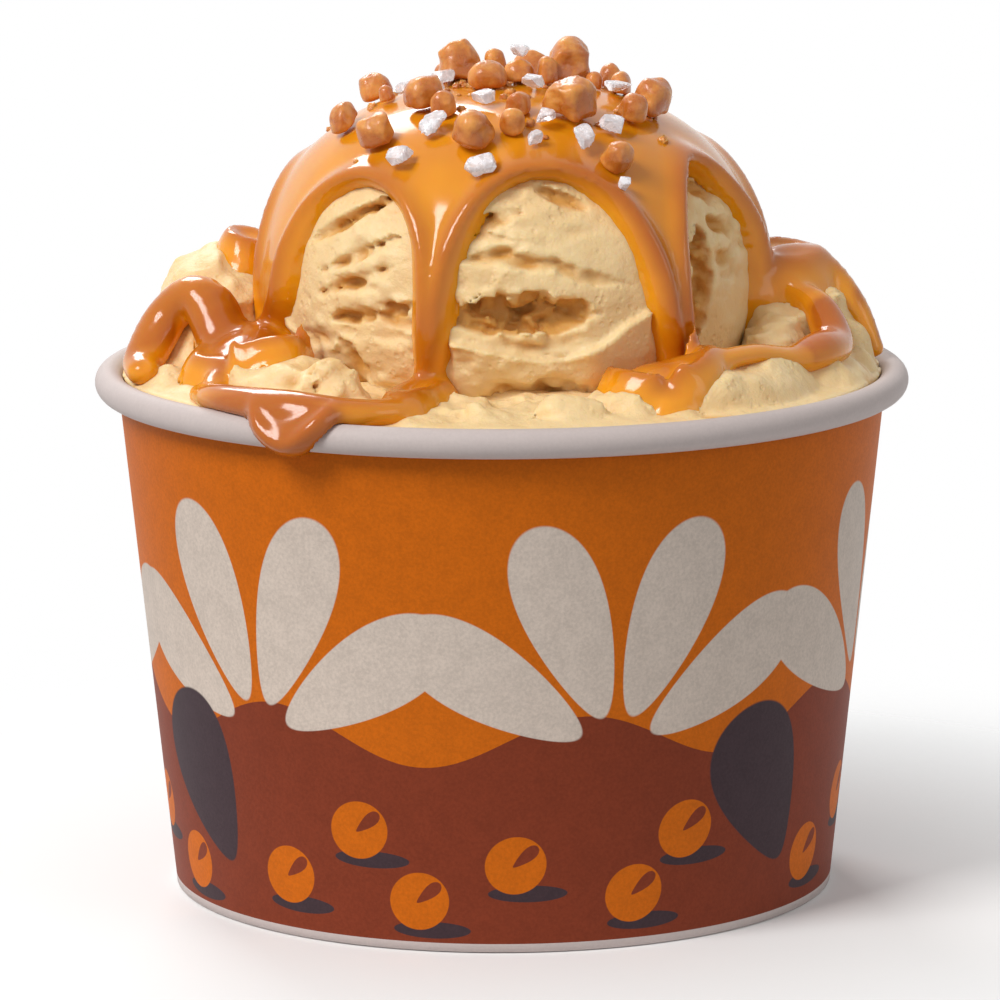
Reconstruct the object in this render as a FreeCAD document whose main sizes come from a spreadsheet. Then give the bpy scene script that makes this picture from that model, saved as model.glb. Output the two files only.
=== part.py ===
"""Paper dessert cup filled with ice cream, caramel sauce, toffee crumbs and salt flakes.

Millimetres, +Z up. The origin is the centre of the circle on which the cup stands.
An azimuth is 0 at the front (-Y) and grows towards +X. The glued seam is at the back (+Y).
"""
import FreeCAD, Part
import math
import os
import re
from collections import namedtuple

import Sketcher

V = FreeCAD.Vector
UP = V(0, 0, 1)

# Driving dimensions: alias, value, meaning
SIZES = (
    ("rim_diameter", 96.0, "outer diameter of the rolled rim"),
    ("cup_height", 61.9, "from the table to the top of the rim"),
    ("base_diameter", 78.1, "outer diameter of the wall where it meets the table"),
    ("wall_top_diameter", 91.0, "outer diameter of the straight wall's line at the cup's height"),
    ("wall_board", 0.4, "thickness of the wall's board"),
    ("roll_radius", 1.7, "outer radius of the rim's roll in section"),
    ("roll_gap", 0.1, "air between two turns of the roll"),
    ("neck_drop", 2.0, "how far below the roll the straight wall ends"),
    ("fold_radius", 0.5, "outer radius of the fold at the foot"),
    ("hem_height", 4.9, "height of the leg folded up inside the foot"),
    ("glue_gap", 0.05, "glue line on each side of the floor's skirt"),
    ("seam_width", 7.0, "overlap of the wall's two ends, measured at the foot"),
    ("floor_board", 0.4, "thickness of the floor's board"),
    ("floor_gap", 0.1, "air between the folded leg's end and the floor's bend"),
    ("floor_bend", 0.8, "outer radius of the floor's bend into its skirt"),
    ("seat_gap", 0.15, "slack between the dessert and the board"),
    ("fill_below_rim", 0.9, "how far the level ice cream lies below the rim's top"),
    ("scoop_radius", 28.4, "widest radius of the scoop"),
    ("scoop_side_radius", 20.7, "radius of the arc that rounds the scoop's side"),
    ("scoop_crown_radius", 58.0, "radius of the flatter arc over the scoop's crown"),
    ("scoop_waist_rise", 11.0, "height of the widest circle over the level ice cream"),
    ("scoop_sink", 2.0, "depth of the scoop's foot in the level ice cream"),
    ("scoop_offset", 1.3, "how far the scoop sits off the cup's axis, towards +X"),
    ("sauce_thickness", 1.8, "thickness of the caramel on the scoop"),
    ("cap_foot", 106.0, "slope in degrees at which the caramel's cap ends and only streams run on"),
    ("stream_lift", 0.5, "how far a stream stands out beyond the caramel's skin"),
    ("bead_radius", 1.5, "radius of the rolled edge along a bare window's round top"),
    ("bead_lift", 0.9, "how far that rolled edge stands out beyond the caramel's skin"),
    ("lip_thickness", 1.5, "thickness of the caramel that hangs over the rim"),
    ("toffee_chamfer", 0.8, "chamfer on the largest toffee crumbs"),
    ("salt_thickness", 0.9, "thickness of a salt flake"),
    ("crumb_sink", 0.5, "how far crumbs and flakes are pressed down before they follow the caramel"),
)
ALIASES = re.compile(r"\b(" + "|".join(alias for alias, value, meaning in SIZES) + r")\b")

# Facets: sides round the cup's axis, and how far a facet may lie off a small roll or fold
CUP_SIDES = 60
SCOOP_SIDES = 36
ARC_CHORD = 0.12

# A lump that stands on the level ice cream, or a pool that lies on the ice cream's own surface:
# an ellipsoid with its half sizes towards the rim, along the rim and upright
Lump = namedtuple("Lump", "name azimuth distance rise radial around upright")
# A stream of caramel down the scoop to a foot given as a slope, and the top of the bare window
# beside it, over the level ice cream, on the side of the growing azimuth
Stream = namedtuple("Stream", "azimuth width foot window_top")
# One station of a ribbon of caramel: rise is over the ice cream's surface
Station = namedtuple("Station", "azimuth distance rise radius")
# A toffee crumb: lean is the slope of the caramel where it sits
Crumb = namedtuple("Crumb", "azimuth lean length width height spin")
# A salt flake: perch is the height over the caramel of what it lies on
Flake = namedtuple("Flake", "azimuth lean length width spin perch")

MOUNDS = (
    Lump("mound_left", -84, 35.5, 2.0, 9.8, 17.0, 14.0),
    Lump("mound_right", 88, 36.2, 2.5, 9.5, 16.0, 11.5),
    Lump("crumbly_front_left", -43, 34.0, 0.6, 7.0, 10.0, 4.6),
    Lump("lump_front", 12, 38.5, 0.2, 3.2, 4.6, 2.4),
    Lump("lump_front_small", -2, 39.5, 0.0, 2.8, 3.4, 1.7),
    Lump("crumbly_front", 26, 34.5, 0.3, 4.4, 7.0, 2.6),
    Lump("leaf_front_right", 47, 37.4, 0.6, 5.6, 12.0, 4.4),
    Lump("crumbly_right", 68, 36.5, 3.4, 5.5, 6.5, 5.6),
    Lump("mound_back_right", 136, 33.0, 0.5, 9.5, 16.0, 9.0),
    Lump("mound_back_left", -142, 33.0, 0.5, 9.5, 17.0, 10.0),
    Lump("lump_back", 178, 36.5, 0.0, 6.0, 9.0, 5.0),
)
# Torn hollows in the scoop's face: places about the scoop's own axis and its waist
TEARS = (
    Lump("tear_front", 1, 28.4, 0.0, 2.4, 8.2, 2.1),
    Lump("tear_front_low", 4, 26.4, -8.8, 1.3, 6.5, 1.5),
    Lump("tear_right", 52, 28.2, 2.5, 2.3, 2.0, 5.4),
    Lump("tear_left", -41, 28.3, 1.2, 1.5, 7.0, 1.1),
    Lump("tear_left_high", -42, 26.6, 8.2, 1.4, 6.5, 1.0),
    Lump("tear_back_right", 109, 28.3, 2.0, 1.8, 6.0, 1.4),
    Lump("tear_back", 156, 28.4, 0.0, 2.0, 7.0, 1.6),
    Lump("tear_back_left", 205, 27.4, 6.2, 1.6, 6.0, 1.2),
    Lump("tear_far_left", 257, 28.3, 2.0, 1.8, 5.0, 1.5),
)
STREAMS = (
    Stream(-76, 5.2, 94, 24.5),
    Stream(-18, 4.8, 130, 25.8),
    Stream(40, 5.4, 130, 25.5),
    Stream(84, 5.0, 94, 24.0),
    Stream(132, 4.6, 106, 22.5),
    Stream(180, 5.2, 118, 24.5),
    Stream(231, 4.6, 106, 23.0),
)
POOLS = (
    Lump("pool_left", -70, 32.0, 0.2, 7.5, 8.0, 2.4),
    Lump("pool_left_low", -55, 35.5, 0.1, 6.0, 9.0, 2.2),
    Lump("pool_lip", -37, 40.5, 0.1, 5.0, 7.0, 2.0),
    Lump("pool_front", -18, 34.5, 0.0, 11.0, 3.4, 1.9),
    Lump("pool_right", 39, 31.0, 0.0, 8.0, 4.4, 2.2),
    Lump("pool_far_right", 84, 32.5, 0.1, 6.5, 6.0, 2.4),
    Lump("pool_back_right", 132, 30.5, 0.0, 7.0, 5.0, 2.2),
    Lump("pool_back", 180, 31.0, 0.0, 7.5, 5.0, 2.2),
    Lump("pool_back_left", -129, 30.5, 0.0, 7.0, 5.5, 2.2),
)
RIBBONS = {
    "ribbon_right": (
        Station(37, 29.5, 0.6, 2.4),
        Station(46, 33.5, 0.6, 2.3),
        Station(56, 36.5, 0.7, 2.1),
        Station(66, 39.0, 0.8, 2.0),
        Station(76, 41.0, 0.9, 2.0),
        Station(83, 40.5, 1.2, 2.0),
        Station(86, 37.5, 1.0, 2.0),
        Station(82, 34.5, 0.8, 1.9),
        Station(75, 33.5, 0.7, 1.6),
    ),
    "ribbon_left": (
        Station(-76, 27.5, 0.4, 2.6),
        Station(-69, 31.5, 0.7, 3.0),
        Station(-60, 35.0, 0.7, 3.0),
        Station(-50, 38.0, 0.7, 2.8),
        Station(-42, 41.0, 0.7, 2.6),
        Station(-36, 43.5, 0.8, 2.4),
    ),
}
LOOP = (
    Station(-76, 33.5, 0.5, 1.9),
    Station(-83, 37.0, 0.5, 1.8),
    Station(-84, 40.8, 0.5, 1.7),
    Station(-78, 43.2, 0.6, 1.7),
    Station(-70, 43.6, 0.6, 1.7),
    Station(-63, 41.6, 0.6, 1.8),
    Station(-62, 37.4, 0.6, 1.9),
    Station(-67, 33.8, 0.5, 2.0),
)
CRUMBS = (
    Crumb(-125, 7, 4.6, 3.8, 4.4, 12),
    Crumb(-46, 15.5, 4.4, 3.8, 3.3, 25),
    Crumb(-81, 18, 2.1, 2.0, 1.9, 40),
    Crumb(-73, 33, 3.8, 3.2, 2.6, 70),
    Crumb(-47, 36, 4.0, 3.8, 3.4, 15),
    Crumb(-31, 19, 2.8, 2.4, 2.3, 55),
    Crumb(-35, 4.7, 4.0, 3.2, 3.0, 20),
    Crumb(-12, 33, 4.2, 3.8, 3.8, 35),
    Crumb(0, 27.5, 2.6, 2.4, 2.4, 5),
    Crumb(3, 17, 3.4, 2.4, 2.2, 80),
    Crumb(43, 1.2, 3.5, 2.8, 2.6, 10),
    Crumb(115, 6.5, 4.9, 3.9, 4.7, 30),
    Crumb(85, 4.0, 2.6, 2.2, 2.9, 65),
    Crumb(25, 20, 4.9, 4.6, 4.6, 50),
    Crumb(92, 9, 2.1, 2.0, 1.9, 15),
    Crumb(91, 12.5, 3.0, 2.2, 2.1, 75),
    Crumb(50, 26.5, 3.3, 3.0, 3.0, 20),
    Crumb(68, 24.5, 4.5, 3.8, 3.8, 60),
    Crumb(30, 44, 3.3, 2.8, 2.8, 35),
    Crumb(-160, 5.5, 2.6, 2.2, 3.4, 45),
    Crumb(-110, 24, 3.6, 3.0, 3.0, 10),
    Crumb(-148, 17, 3.0, 2.6, 2.6, 60),
    Crumb(170, 13, 4.0, 3.4, 3.2, 25),
    Crumb(130, 19, 3.2, 2.8, 2.8, 70),
    Crumb(-172, 30, 3.4, 3.0, 3.0, 40),
    Crumb(148, 33, 2.8, 2.4, 2.4, 5),
)
FLAKES = (
    Flake(-28, 28.5, 3.0, 2.2, 20, 0),
    Flake(-33, 43, 2.0, 2.4, 60, 0),
    Flake(-9, 45, 3.2, 1.9, 10, 0),
    Flake(-15, 12.5, 2.8, 2.0, 45, 0),
    Flake(-95, 7.5, 2.2, 1.8, 30, 0),
    Flake(20, 6.5, 2.8, 2.2, 75, 0),
    Flake(43, 1.4, 2.4, 1.8, 15, 2.6),
    Flake(22, 35, 3.0, 2.4, 50, 0),
    Flake(36, 30, 2.6, 1.8, 5, 0),
    Flake(12, 25.5, 2.2, 1.7, 65, 0),
    Flake(7, 34, 1.5, 1.1, 25, 0),
    Flake(72, 12, 3.2, 2.2, 40, 0),
    Flake(29, 52, 1.2, 1.0, 10, 0),
    Flake(-61, 9.5, 1.7, 1.3, 35, 0),
    Flake(-138, 27, 2.4, 1.8, 55, 0),
    Flake(158, 23, 2.6, 2.0, 20, 0),
    Flake(112, 30, 2.2, 1.6, 70, 0),
)


def size(alias):
    """One driving dimension, read from the sheet."""
    return float(FreeCAD.ActiveDocument.sizes.get(alias))


def fill_level():
    """Height of the level ice cream."""
    return size("cup_height") - size("fill_below_rim")


def floor_level():
    """Height of the floor's upper face."""
    return size("hem_height") + size("floor_gap") + size("floor_bend")


def waist_height():
    """Height of the scoop's widest circle."""
    return fill_level() + size("scoop_waist_rise")


def side_centre():
    """Distance of the side arc's centre from the scoop's axis."""
    return size("scoop_radius") - size("scoop_side_radius")


def crown_lean():
    """Slope in degrees at the circle where the crown arc meets the side arc."""
    return math.degrees(math.asin(side_centre() / (size("scoop_crown_radius") - size("scoop_side_radius"))))


def crown_centre():
    """Height of the crown arc's centre, which gives both arcs one tangent where they meet."""
    reach = size("scoop_crown_radius") - size("scoop_side_radius")
    return waist_height() - reach * math.cos(math.radians(crown_lean()))


def taper():
    """Angle in radians of the wall from upright."""
    return math.atan((size("wall_top_diameter") - size("base_diameter")) / 2 / size("cup_height"))


def outward(azimuth):
    """Level unit vector towards an azimuth."""
    angle = math.radians(azimuth)
    return V(math.sin(angle), -math.cos(angle), 0)


def scoop_section(lean, skin):
    """Distance from the scoop's axis and height where a face skin outside the scoop has a slope."""
    slope = math.radians(lean)
    if lean < crown_lean():
        radius = size("scoop_crown_radius") + skin
        return radius * math.sin(slope), crown_centre() + radius * math.cos(slope)
    radius = size("scoop_side_radius") + skin
    return side_centre() + radius * math.sin(slope), waist_height() + radius * math.cos(slope)


def on_scoop(azimuth, lean, skin):
    """Point at an azimuth and slope on a face skin outside the scoop."""
    distance, level = scoop_section(lean, skin)
    return outward(azimuth) * distance + V(size("scoop_offset"), 0, level)


def bed_height(azimuth, distance):
    """Height of the ice cream's surface, mounds and level fill, at a place in the cup."""
    place = outward(azimuth) * distance
    height = fill_level()
    for mound in MOUNDS:
        offset = place - outward(mound.azimuth) * mound.distance
        out = offset.dot(outward(mound.azimuth)) / mound.radial
        along = offset.dot(outward(mound.azimuth + 90)) / mound.around
        left = 1 - out ** 2 - along ** 2
        if left > 0:
            height = max(height, fill_level() + mound.rise + mound.upright * math.sqrt(left))
    return height


def make_sheet(doc):
    """Write the driving dimensions to the spreadsheet, one aliased cell each."""
    sheet = doc.addObject("Spreadsheet::Sheet", "sizes")
    for row, (alias, value, meaning) in enumerate(SIZES, start=1):
        sheet.set("A%d" % row, meaning)
        sheet.set("B%d" % row, str(value))
        sheet.setAlias("B%d" % row, alias)
    doc.recompute()


def with_sheet(formula):
    """Formula in which each alias is read from the sheet."""
    return ALIASES.sub(r"sizes.\1", formula)


def bind(obj, **formulas):
    """Bind properties to formulas written with the sheet's aliases; a double underscore is a dot."""
    for prop, formula in formulas.items():
        obj.setExpression(prop.replace("__", "."), with_sheet(formula))


def dimension(sketch, kind, formula, *where):
    """Add a driving dimension to a sketch and bind it to the sheet."""
    value = sketch.evalExpression(with_sheet(formula))
    index = sketch.addConstraint(Sketcher.Constraint(kind, *where, value))
    bind(sketch, **{"Constraints[%d]" % index: formula})


def relate(sketch, kind, *where):
    """Add a geometric relation to a sketch."""
    sketch.addConstraint(Sketcher.Constraint(kind, *where))


def line(sketch, start, end, construction=False):
    """Add a straight line to a sketch."""
    return sketch.addGeometry(Part.LineSegment(V(*start, 0), V(*end, 0)), construction)


def arc(sketch, centre, radius, start, end):
    """Add an anticlockwise arc, angles in degrees, to a sketch."""
    circle = Part.Circle(V(*centre, 0), UP, radius)
    return sketch.addGeometry(Part.ArcOfCircle(circle, math.radians(start), math.radians(end)), False)


def upright_sketch(doc, name):
    """Sketch in the plane through the cup's axis: x is the radius, y the height."""
    sketch = doc.addObject("Sketcher::SketchObject", name)
    sketch.Placement = FreeCAD.Placement(V(), FreeCAD.Rotation(V(1, 0, 0), 90))
    return sketch


def slope_line(sketch):
    """Construction line along the outer face of the straight wall, from table to rim height."""
    base = size("base_diameter") / 2
    top = size("wall_top_diameter") / 2
    slope = line(sketch, (base, 0), (top, size("cup_height")), construction=True)
    dimension(sketch, "DistanceX", "base_diameter / 2", -1, 1, slope, 1)
    relate(sketch, "PointOnObject", slope, 1, -1)
    dimension(sketch, "DistanceX", "wall_top_diameter / 2", -1, 1, slope, 2)
    dimension(sketch, "DistanceY", "cup_height", -1, 1, slope, 2)
    return slope


def board_of_revolution(doc, name, sketch, thickness, inward):
    """Thicken a sketched face of board to one side and turn it round the cup's axis.

    The sketch's arcs become short chords first, which keeps the solid light.
    """
    doc.recompute()
    chords = doc.addObject("Part::Feature", name + "_chords")
    chords.Shape = Part.makePolygon(sketch.Shape.Wires[0].discretize(Deflection=ARC_CHORD))
    section = doc.addObject("Part::Offset2D", name + "_section")
    section.Source = chords
    section.Mode = "Skin"
    section.Join = "Intersection"
    section.Fill = True
    bind(section, Value=thickness if inward else "-" + thickness)
    board = doc.addObject("Part::Revolution", name)
    board.Source = section
    board.Axis = UP
    board.Base = V()
    board.Angle = 360
    board.Solid = True
    return board


def wall_sketch(doc):
    """Printed face of the wall: folded leg, foot, slope, neck and the rim's roll."""
    sketch = upright_sketch(doc, "wall_line")
    board = size("wall_board")
    fold = size("fold_radius")
    lean = taper()
    base = size("base_diameter") / 2
    hem = 2 * board + size("floor_board") + 2 * size("glue_gap")
    leg_base = base - hem / math.cos(lean)
    neck_height = size("cup_height") - 2 * size("roll_radius") - size("neck_drop")
    neck = (base + neck_height * math.tan(lean), neck_height)
    roll = size("roll_radius") - board
    inner_roll = roll - board - size("roll_gap")
    centre = (size("rim_diameter") / 2 - size("roll_radius"), size("cup_height") - size("roll_radius"))
    across = centre[0] - neck[0]
    above = centre[1] - neck[1]
    away = math.hypot(across, above)
    bend = math.atan2(across, above) - math.asin(roll / away)
    run = math.sqrt(away ** 2 - roll ** 2)
    touch = (neck[0] + run * math.sin(bend), neck[1] + run * math.cos(bend))

    slope = slope_line(sketch)
    in_x = leg_base + fold * math.tan(lean) + fold / math.cos(lean)
    out_x = base + fold * math.tan(lean) - fold / math.cos(lean)
    tilt = math.degrees(lean)
    leg_end = (in_x - fold * math.cos(lean), fold + fold * math.sin(lean))
    wall_start = (out_x + fold * math.cos(lean), fold - fold * math.sin(lean))
    leg_top = (leg_base + size("hem_height") * math.tan(lean), size("hem_height"))
    leg = line(sketch, leg_top, leg_end)
    inner_fold = arc(sketch, (in_x, fold), fold, 180 - tilt, 270)
    foot = line(sketch, (in_x, 0), (out_x, 0))
    outer_fold = arc(sketch, (out_x, fold), fold, 270, 360 - tilt)
    wall = line(sketch, wall_start, neck)
    throat = line(sketch, neck, touch)
    outer = arc(sketch, centre, roll, -90, 180 - math.degrees(bend))
    inner_centre = (centre[0], centre[1] - roll + inner_roll)
    inner = arc(sketch, inner_centre, inner_roll, 180, 270)

    relate(sketch, "Tangent", leg, 2, inner_fold, 1)
    relate(sketch, "Tangent", inner_fold, 2, foot, 1)
    relate(sketch, "Tangent", foot, 2, outer_fold, 1)
    relate(sketch, "Tangent", outer_fold, 2, wall, 1)
    relate(sketch, "Coincident", wall, 2, throat, 1)
    relate(sketch, "Tangent", throat, 2, outer, 2)
    relate(sketch, "Tangent", outer, 1, inner, 2)
    relate(sketch, "PointOnObject", foot, 1, -1)
    relate(sketch, "Horizontal", foot)
    relate(sketch, "Parallel", wall, slope)
    relate(sketch, "PointOnObject", wall, 2, slope)
    relate(sketch, "Parallel", leg, slope)
    relate(sketch, "Vertical", outer, 1, outer, 3)
    relate(sketch, "Horizontal", inner, 1, inner, 3)
    dimension(sketch, "Radius", "fold_radius", inner_fold)
    dimension(sketch, "Radius", "fold_radius", outer_fold)
    dimension(sketch, "Radius", "roll_radius - wall_board", outer)
    dimension(sketch, "Radius", "roll_radius - 2 * wall_board - roll_gap", inner)
    dimension(sketch, "Distance", "2 * wall_board + floor_board + 2 * glue_gap", leg, 1, slope)
    dimension(sketch, "DistanceY", "hem_height", -1, 1, leg, 1)
    dimension(sketch, "DistanceY", "cup_height - 2 * roll_radius - neck_drop", -1, 1, wall, 2)
    dimension(sketch, "DistanceX", "rim_diameter / 2 - roll_radius", -1, 1, outer, 3)
    dimension(sketch, "DistanceY", "cup_height - roll_radius", -1, 1, outer, 3)
    return sketch


def make_cup_wall(doc):
    """One wrapped board with its rolled rim, folded foot and overlapped seam."""
    wrap = board_of_revolution(doc, "wall_wrap", wall_sketch(doc), "wall_board", inward=True)
    slope = "(wall_top_diameter - base_diameter) / 2 / cup_height"
    high = "(cup_height - 2 * roll_radius - neck_drop)"
    board = "wall_board / cos(atan(%s))" % slope
    sectors = []
    for name, outer in (("seam_outer", board), ("seam_inner", "0")):
        sector = primitive(doc, "Cone", name, Height=high + " - fold_radius",
                           Radius1="base_diameter / 2 + %s * fold_radius + %s" % (slope, outer),
                           Radius2="base_diameter / 2 + %s * %s + %s" % (slope, high, outer),
                           Angle="360 * seam_width / (pi * base_diameter)",
                           Placement__Base__z="fold_radius")
        sectors.append(sector)
    overlap = cut(doc, "seam_overlap", *sectors)
    angle = math.degrees(2 * size("seam_width") / size("base_diameter"))
    overlap.Placement = FreeCAD.Placement(V(), FreeCAD.Rotation(UP, 90 - angle / 2))
    wall = doc.addObject("Part::Fuse", "cup_wall")
    wall.Base = wrap
    wall.Tool = overlap
    return wall


def make_cup_bottom(doc):
    """One disc of board whose skirt is held in the wall's fold."""
    sketch = upright_sketch(doc, "floor_line")
    lean = taper()
    slope = slope_line(sketch)
    top = floor_level()
    bend = size("floor_bend")
    skin = size("wall_board") + size("glue_gap")
    foot = size("base_diameter") / 2 - skin / math.cos(lean)
    low = size("wall_board") + size("fold_radius")
    centre = (foot + (top - bend) * math.tan(lean) - bend / math.cos(lean), top - bend)
    corner = (centre[0] + bend * math.cos(lean), centre[1] - bend * math.sin(lean))
    disc = line(sketch, (0, top), (centre[0], top))
    turn = arc(sketch, centre, bend, -math.degrees(lean), 90)
    skirt = line(sketch, corner, (foot + low * math.tan(lean), low))
    relate(sketch, "Tangent", disc, 2, turn, 2)
    relate(sketch, "Tangent", turn, 1, skirt, 1)
    relate(sketch, "Horizontal", disc)
    relate(sketch, "PointOnObject", disc, 1, -2)
    relate(sketch, "Parallel", skirt, slope)
    dimension(sketch, "DistanceY", "hem_height + floor_gap + floor_bend", -1, 1, disc, 1)
    dimension(sketch, "Radius", "floor_bend", turn)
    dimension(sketch, "Distance", "wall_board + glue_gap", skirt, 2, slope)
    dimension(sketch, "DistanceY", "wall_board + fold_radius", -1, 1, skirt, 2)
    return board_of_revolution(doc, "cup_bottom", sketch, "floor_board", inward=False)


def primitive(doc, kind, name, **formulas):
    """Part primitive with its sizes bound to formulas."""
    item = doc.addObject("Part::" + kind, name)
    bind(item, **formulas)
    return item


def cut(doc, name, base, tool):
    """First solid less the second."""
    result = doc.addObject("Part::Cut", name)
    result.Base = base
    result.Tool = tool
    return result


def fuse(doc, name, pieces):
    """One solid of several that overlap."""
    result = doc.addObject("Part::MultiFuse", name)
    result.Shapes = pieces
    return result


def skinned(doc, name, rings, closed=False):
    """Solid of flat facets skinned over rings of points; a ring of one point is a tip."""
    faces = []
    pairs = list(zip(rings, rings[1:] + rings[:1])) if closed else list(zip(rings, rings[1:]))
    for low, high in pairs:
        for index in range(max(len(low), len(high))):
            corners = [low[index % len(low)], low[(index + 1) % len(low)],
                       high[(index + 1) % len(high)], high[index % len(high)]]
            faces += facets(corners)
    ends = () if closed else (rings[0], rings[-1])
    faces += [polygon(ring) for ring in ends if len(ring) > 1]
    solid = Part.makeSolid(Part.makeShell(faces))
    if solid.Volume < 0:
        solid.reverse()
    item = doc.addObject("Part::Feature", name)
    item.Shape = solid
    return item


def polygon(corners):
    """Flat face with the given corners."""
    return Part.Face(Part.makePolygon(corners + corners[:1]))


def facets(corners):
    """One flat face over four corners, or two where they don't lie in a plane or coincide."""
    apart = [corner for index, corner in enumerate(corners) if (corner - corners[index - 1]).Length > 1e-9]
    if len(apart) < 4:
        return [polygon(apart)]
    first, second, third, fourth = apart
    if abs((second - first).cross(third - first).dot(fourth - first)) < 1e-6:
        return [polygon(apart)]
    return [polygon([first, second, third]), polygon([first, third, fourth])]


def ring_of(centre, radius, sides):
    """Level ring of points."""
    return [centre + outward(360 * side / sides) * radius for side in range(sides)]


def scoop_foot():
    """Slope in degrees at the scoop's foot."""
    reach = size("scoop_waist_rise") + size("scoop_sink")
    return 90 + math.degrees(math.asin(reach / size("scoop_side_radius")))


def make_dome(doc, name, skin, lowest):
    """Ball with a flatter crown and a flat foot, skin beyond the scoop's own face."""
    flank = 8
    leans = [lowest + (crown_lean() - lowest) * step / flank for step in range(flank + 1)]
    leans.append(crown_lean() / 2)
    axis = V(size("scoop_offset"), 0, 0)
    rings = []
    for lean in leans:
        distance, level = scoop_section(lean, skin)
        rings.append(ring_of(axis + UP * level, distance, SCOOP_SIDES))
    rings.append([axis + UP * scoop_section(0, skin)[1]])
    return skinned(doc, name, rings)


def make_scoop(doc):
    """Ball of ice cream with torn hollows in its face."""
    ball = make_dome(doc, "scoop_ball", 0, scoop_foot())
    tears = [make_lump(doc, tear, waist_height()) for tear in TEARS]
    for tear in tears:
        tear.Placement.Base = V(size("scoop_offset"), 0, 0)
    return cut(doc, "ice_cream_scoop", ball, fuse(doc, "tears", tears))


def make_lump(doc, lump, level):
    """Ellipsoid about a height, turned to its azimuth."""
    rows = 7 if lump.upright > 6 else 5
    sides = 18 if lump.upright > 6 else 12
    out = outward(lump.azimuth)
    along = outward(lump.azimuth + 90)
    centre = out * lump.distance + UP * (level + lump.rise)
    rings = [[centre - UP * lump.upright]]
    for row in range(1, rows):
        height = math.radians(180 * row / rows - 90)
        wide = math.cos(height)
        ring = []
        for side in range(sides):
            turn = 2 * math.pi * side / sides
            ring.append(centre + out * (lump.radial * wide * math.cos(turn))
                        + along * (lump.around * wide * math.sin(turn))
                        + UP * (lump.upright * math.sin(height)))
        rings.append(ring)
    rings.append([centre + UP * lump.upright])
    return skinned(doc, lump.name, rings)


def tube_ring(point, along, across, radius, sides):
    """Ring of points round one place of a path."""
    other = along.cross(across)
    turns = [2 * math.pi * side / sides for side in range(sides)]
    return [point + across * (radius * math.cos(turn)) + other * (radius * math.sin(turn)) for turn in turns]


def make_tube(doc, name, path, radii, closed=False, sides=6, level=None):
    """Cord of caramel along a path, round ended unless it closes on itself.

    The direction across the path is level: the given one for a path that turns downwards.
    """
    rings = []
    last = len(path) - 1
    for index, (point, radius) in enumerate(zip(path, radii)):
        before = path[index - 1] if closed or index > 0 else point
        after = path[(index + 1) % len(path)] if closed or index < last else point
        along = (after - before).normalize()
        across = level or along.cross(UP).normalize()
        ring = tube_ring(point, along, across, radius, sides)
        if not closed and index == 0:
            rings.append([point - along * radius])
            rings.append(tube_ring(point - along * (0.6 * radius), along, across, 0.8 * radius, sides))
        rings.append(ring)
        if not closed and index == last:
            rings.append(tube_ring(point + along * (0.6 * radius), along, across, 0.8 * radius, sides))
            rings.append([point + along * radius])
    return skinned(doc, name, rings, closed)


def inside_radius(level):
    """Distance from the cup's axis at which the dessert ends, just inside the board."""
    slope = size("base_diameter") / 2 + level * math.tan(taper())
    face = slope - (size("wall_board") + size("seat_gap")) / math.cos(taper())
    return min(face, size("rim_diameter") / 2 - 2 * size("roll_radius") - size("seat_gap"))


def make_collar(doc, name, outer):
    """Room that the dessert keeps clear of: the wall and the rim, out to the given distances."""
    centre = size("rim_diameter") / 2 - size("roll_radius")
    level = size("cup_height") - size("roll_radius")
    clear = size("roll_radius") + size("seat_gap")
    below = -size("fold_radius")
    neck = size("cup_height") - 2 * size("roll_radius") - size("neck_drop")
    section = [(inside_radius(0), below), (inside_radius(neck), neck)]
    for turn in range(180, -1, -30):
        angle = math.radians(turn)
        section.append((centre + clear * math.cos(angle), level + clear * math.sin(angle)))
    section += outer
    spread = 1 / math.cos(math.pi / CUP_SIDES)
    rings = []
    for side in range(CUP_SIDES):
        away = outward(360 * side / CUP_SIDES)
        rings.append([away * (distance * (spread if distance > centre else 1)) + UP * height
                      for distance, height in section])
    return skinned(doc, name, rings, closed=True)


def make_bed(doc, scoop):
    """Level ice cream on the cup's floor with its mounds, hollowed where the scoop sits."""
    neck = size("cup_height") - 2 * size("roll_radius") - size("neck_drop")
    rings = [ring_of(UP * level, inside_radius(level), CUP_SIDES)
             for level in (floor_level(), neck, fill_level())]
    fill = skinned(doc, "fill", rings)
    heap = fuse(doc, "heap", [fill] + [make_lump(doc, mound, fill_level()) for mound in MOUNDS])
    far = size("rim_diameter") / 2 + 2 * size("roll_radius")
    level = size("cup_height") - size("roll_radius")
    outside = make_collar(doc, "outside_room", [(far, level), (far, -size("fold_radius"))])
    return cut(doc, "ice_cream_bed", cut(doc, "heap_dented", heap, scoop), outside)


def window_arch(left, right):
    """Middle azimuth, half width and centre height of the bare window's round top between two streams."""
    turn = (right.azimuth - left.azimuth) % 360
    chord = 2 * size("scoop_radius") * math.sin(math.radians(turn / 2))
    half = (chord - (left.width + right.width) / 2) / 2
    return left.azimuth + turn / 2, half, fill_level() + left.window_top - half


def make_window(doc, index, left, right):
    """Round-topped cutter that leaves the ice cream bare between two streams."""
    middle, half, level = window_arch(left, right)
    across = outward(middle + 90)
    centre = V(size("scoop_offset"), 0, level)
    arch = [centre + across * half - UP * (half + size("scoop_waist_rise"))]
    for angle in range(0, 181, 20):
        turn = math.radians(angle)
        arch.append(centre + across * (half * math.cos(turn)) + UP * (half * math.sin(turn)))
    arch.append(centre - across * half - UP * (half + size("scoop_waist_rise")))
    far = outward(middle) * (2 * size("scoop_radius"))
    return skinned(doc, "window_%d" % index, [arch, [corner + far for corner in arch]])


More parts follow.
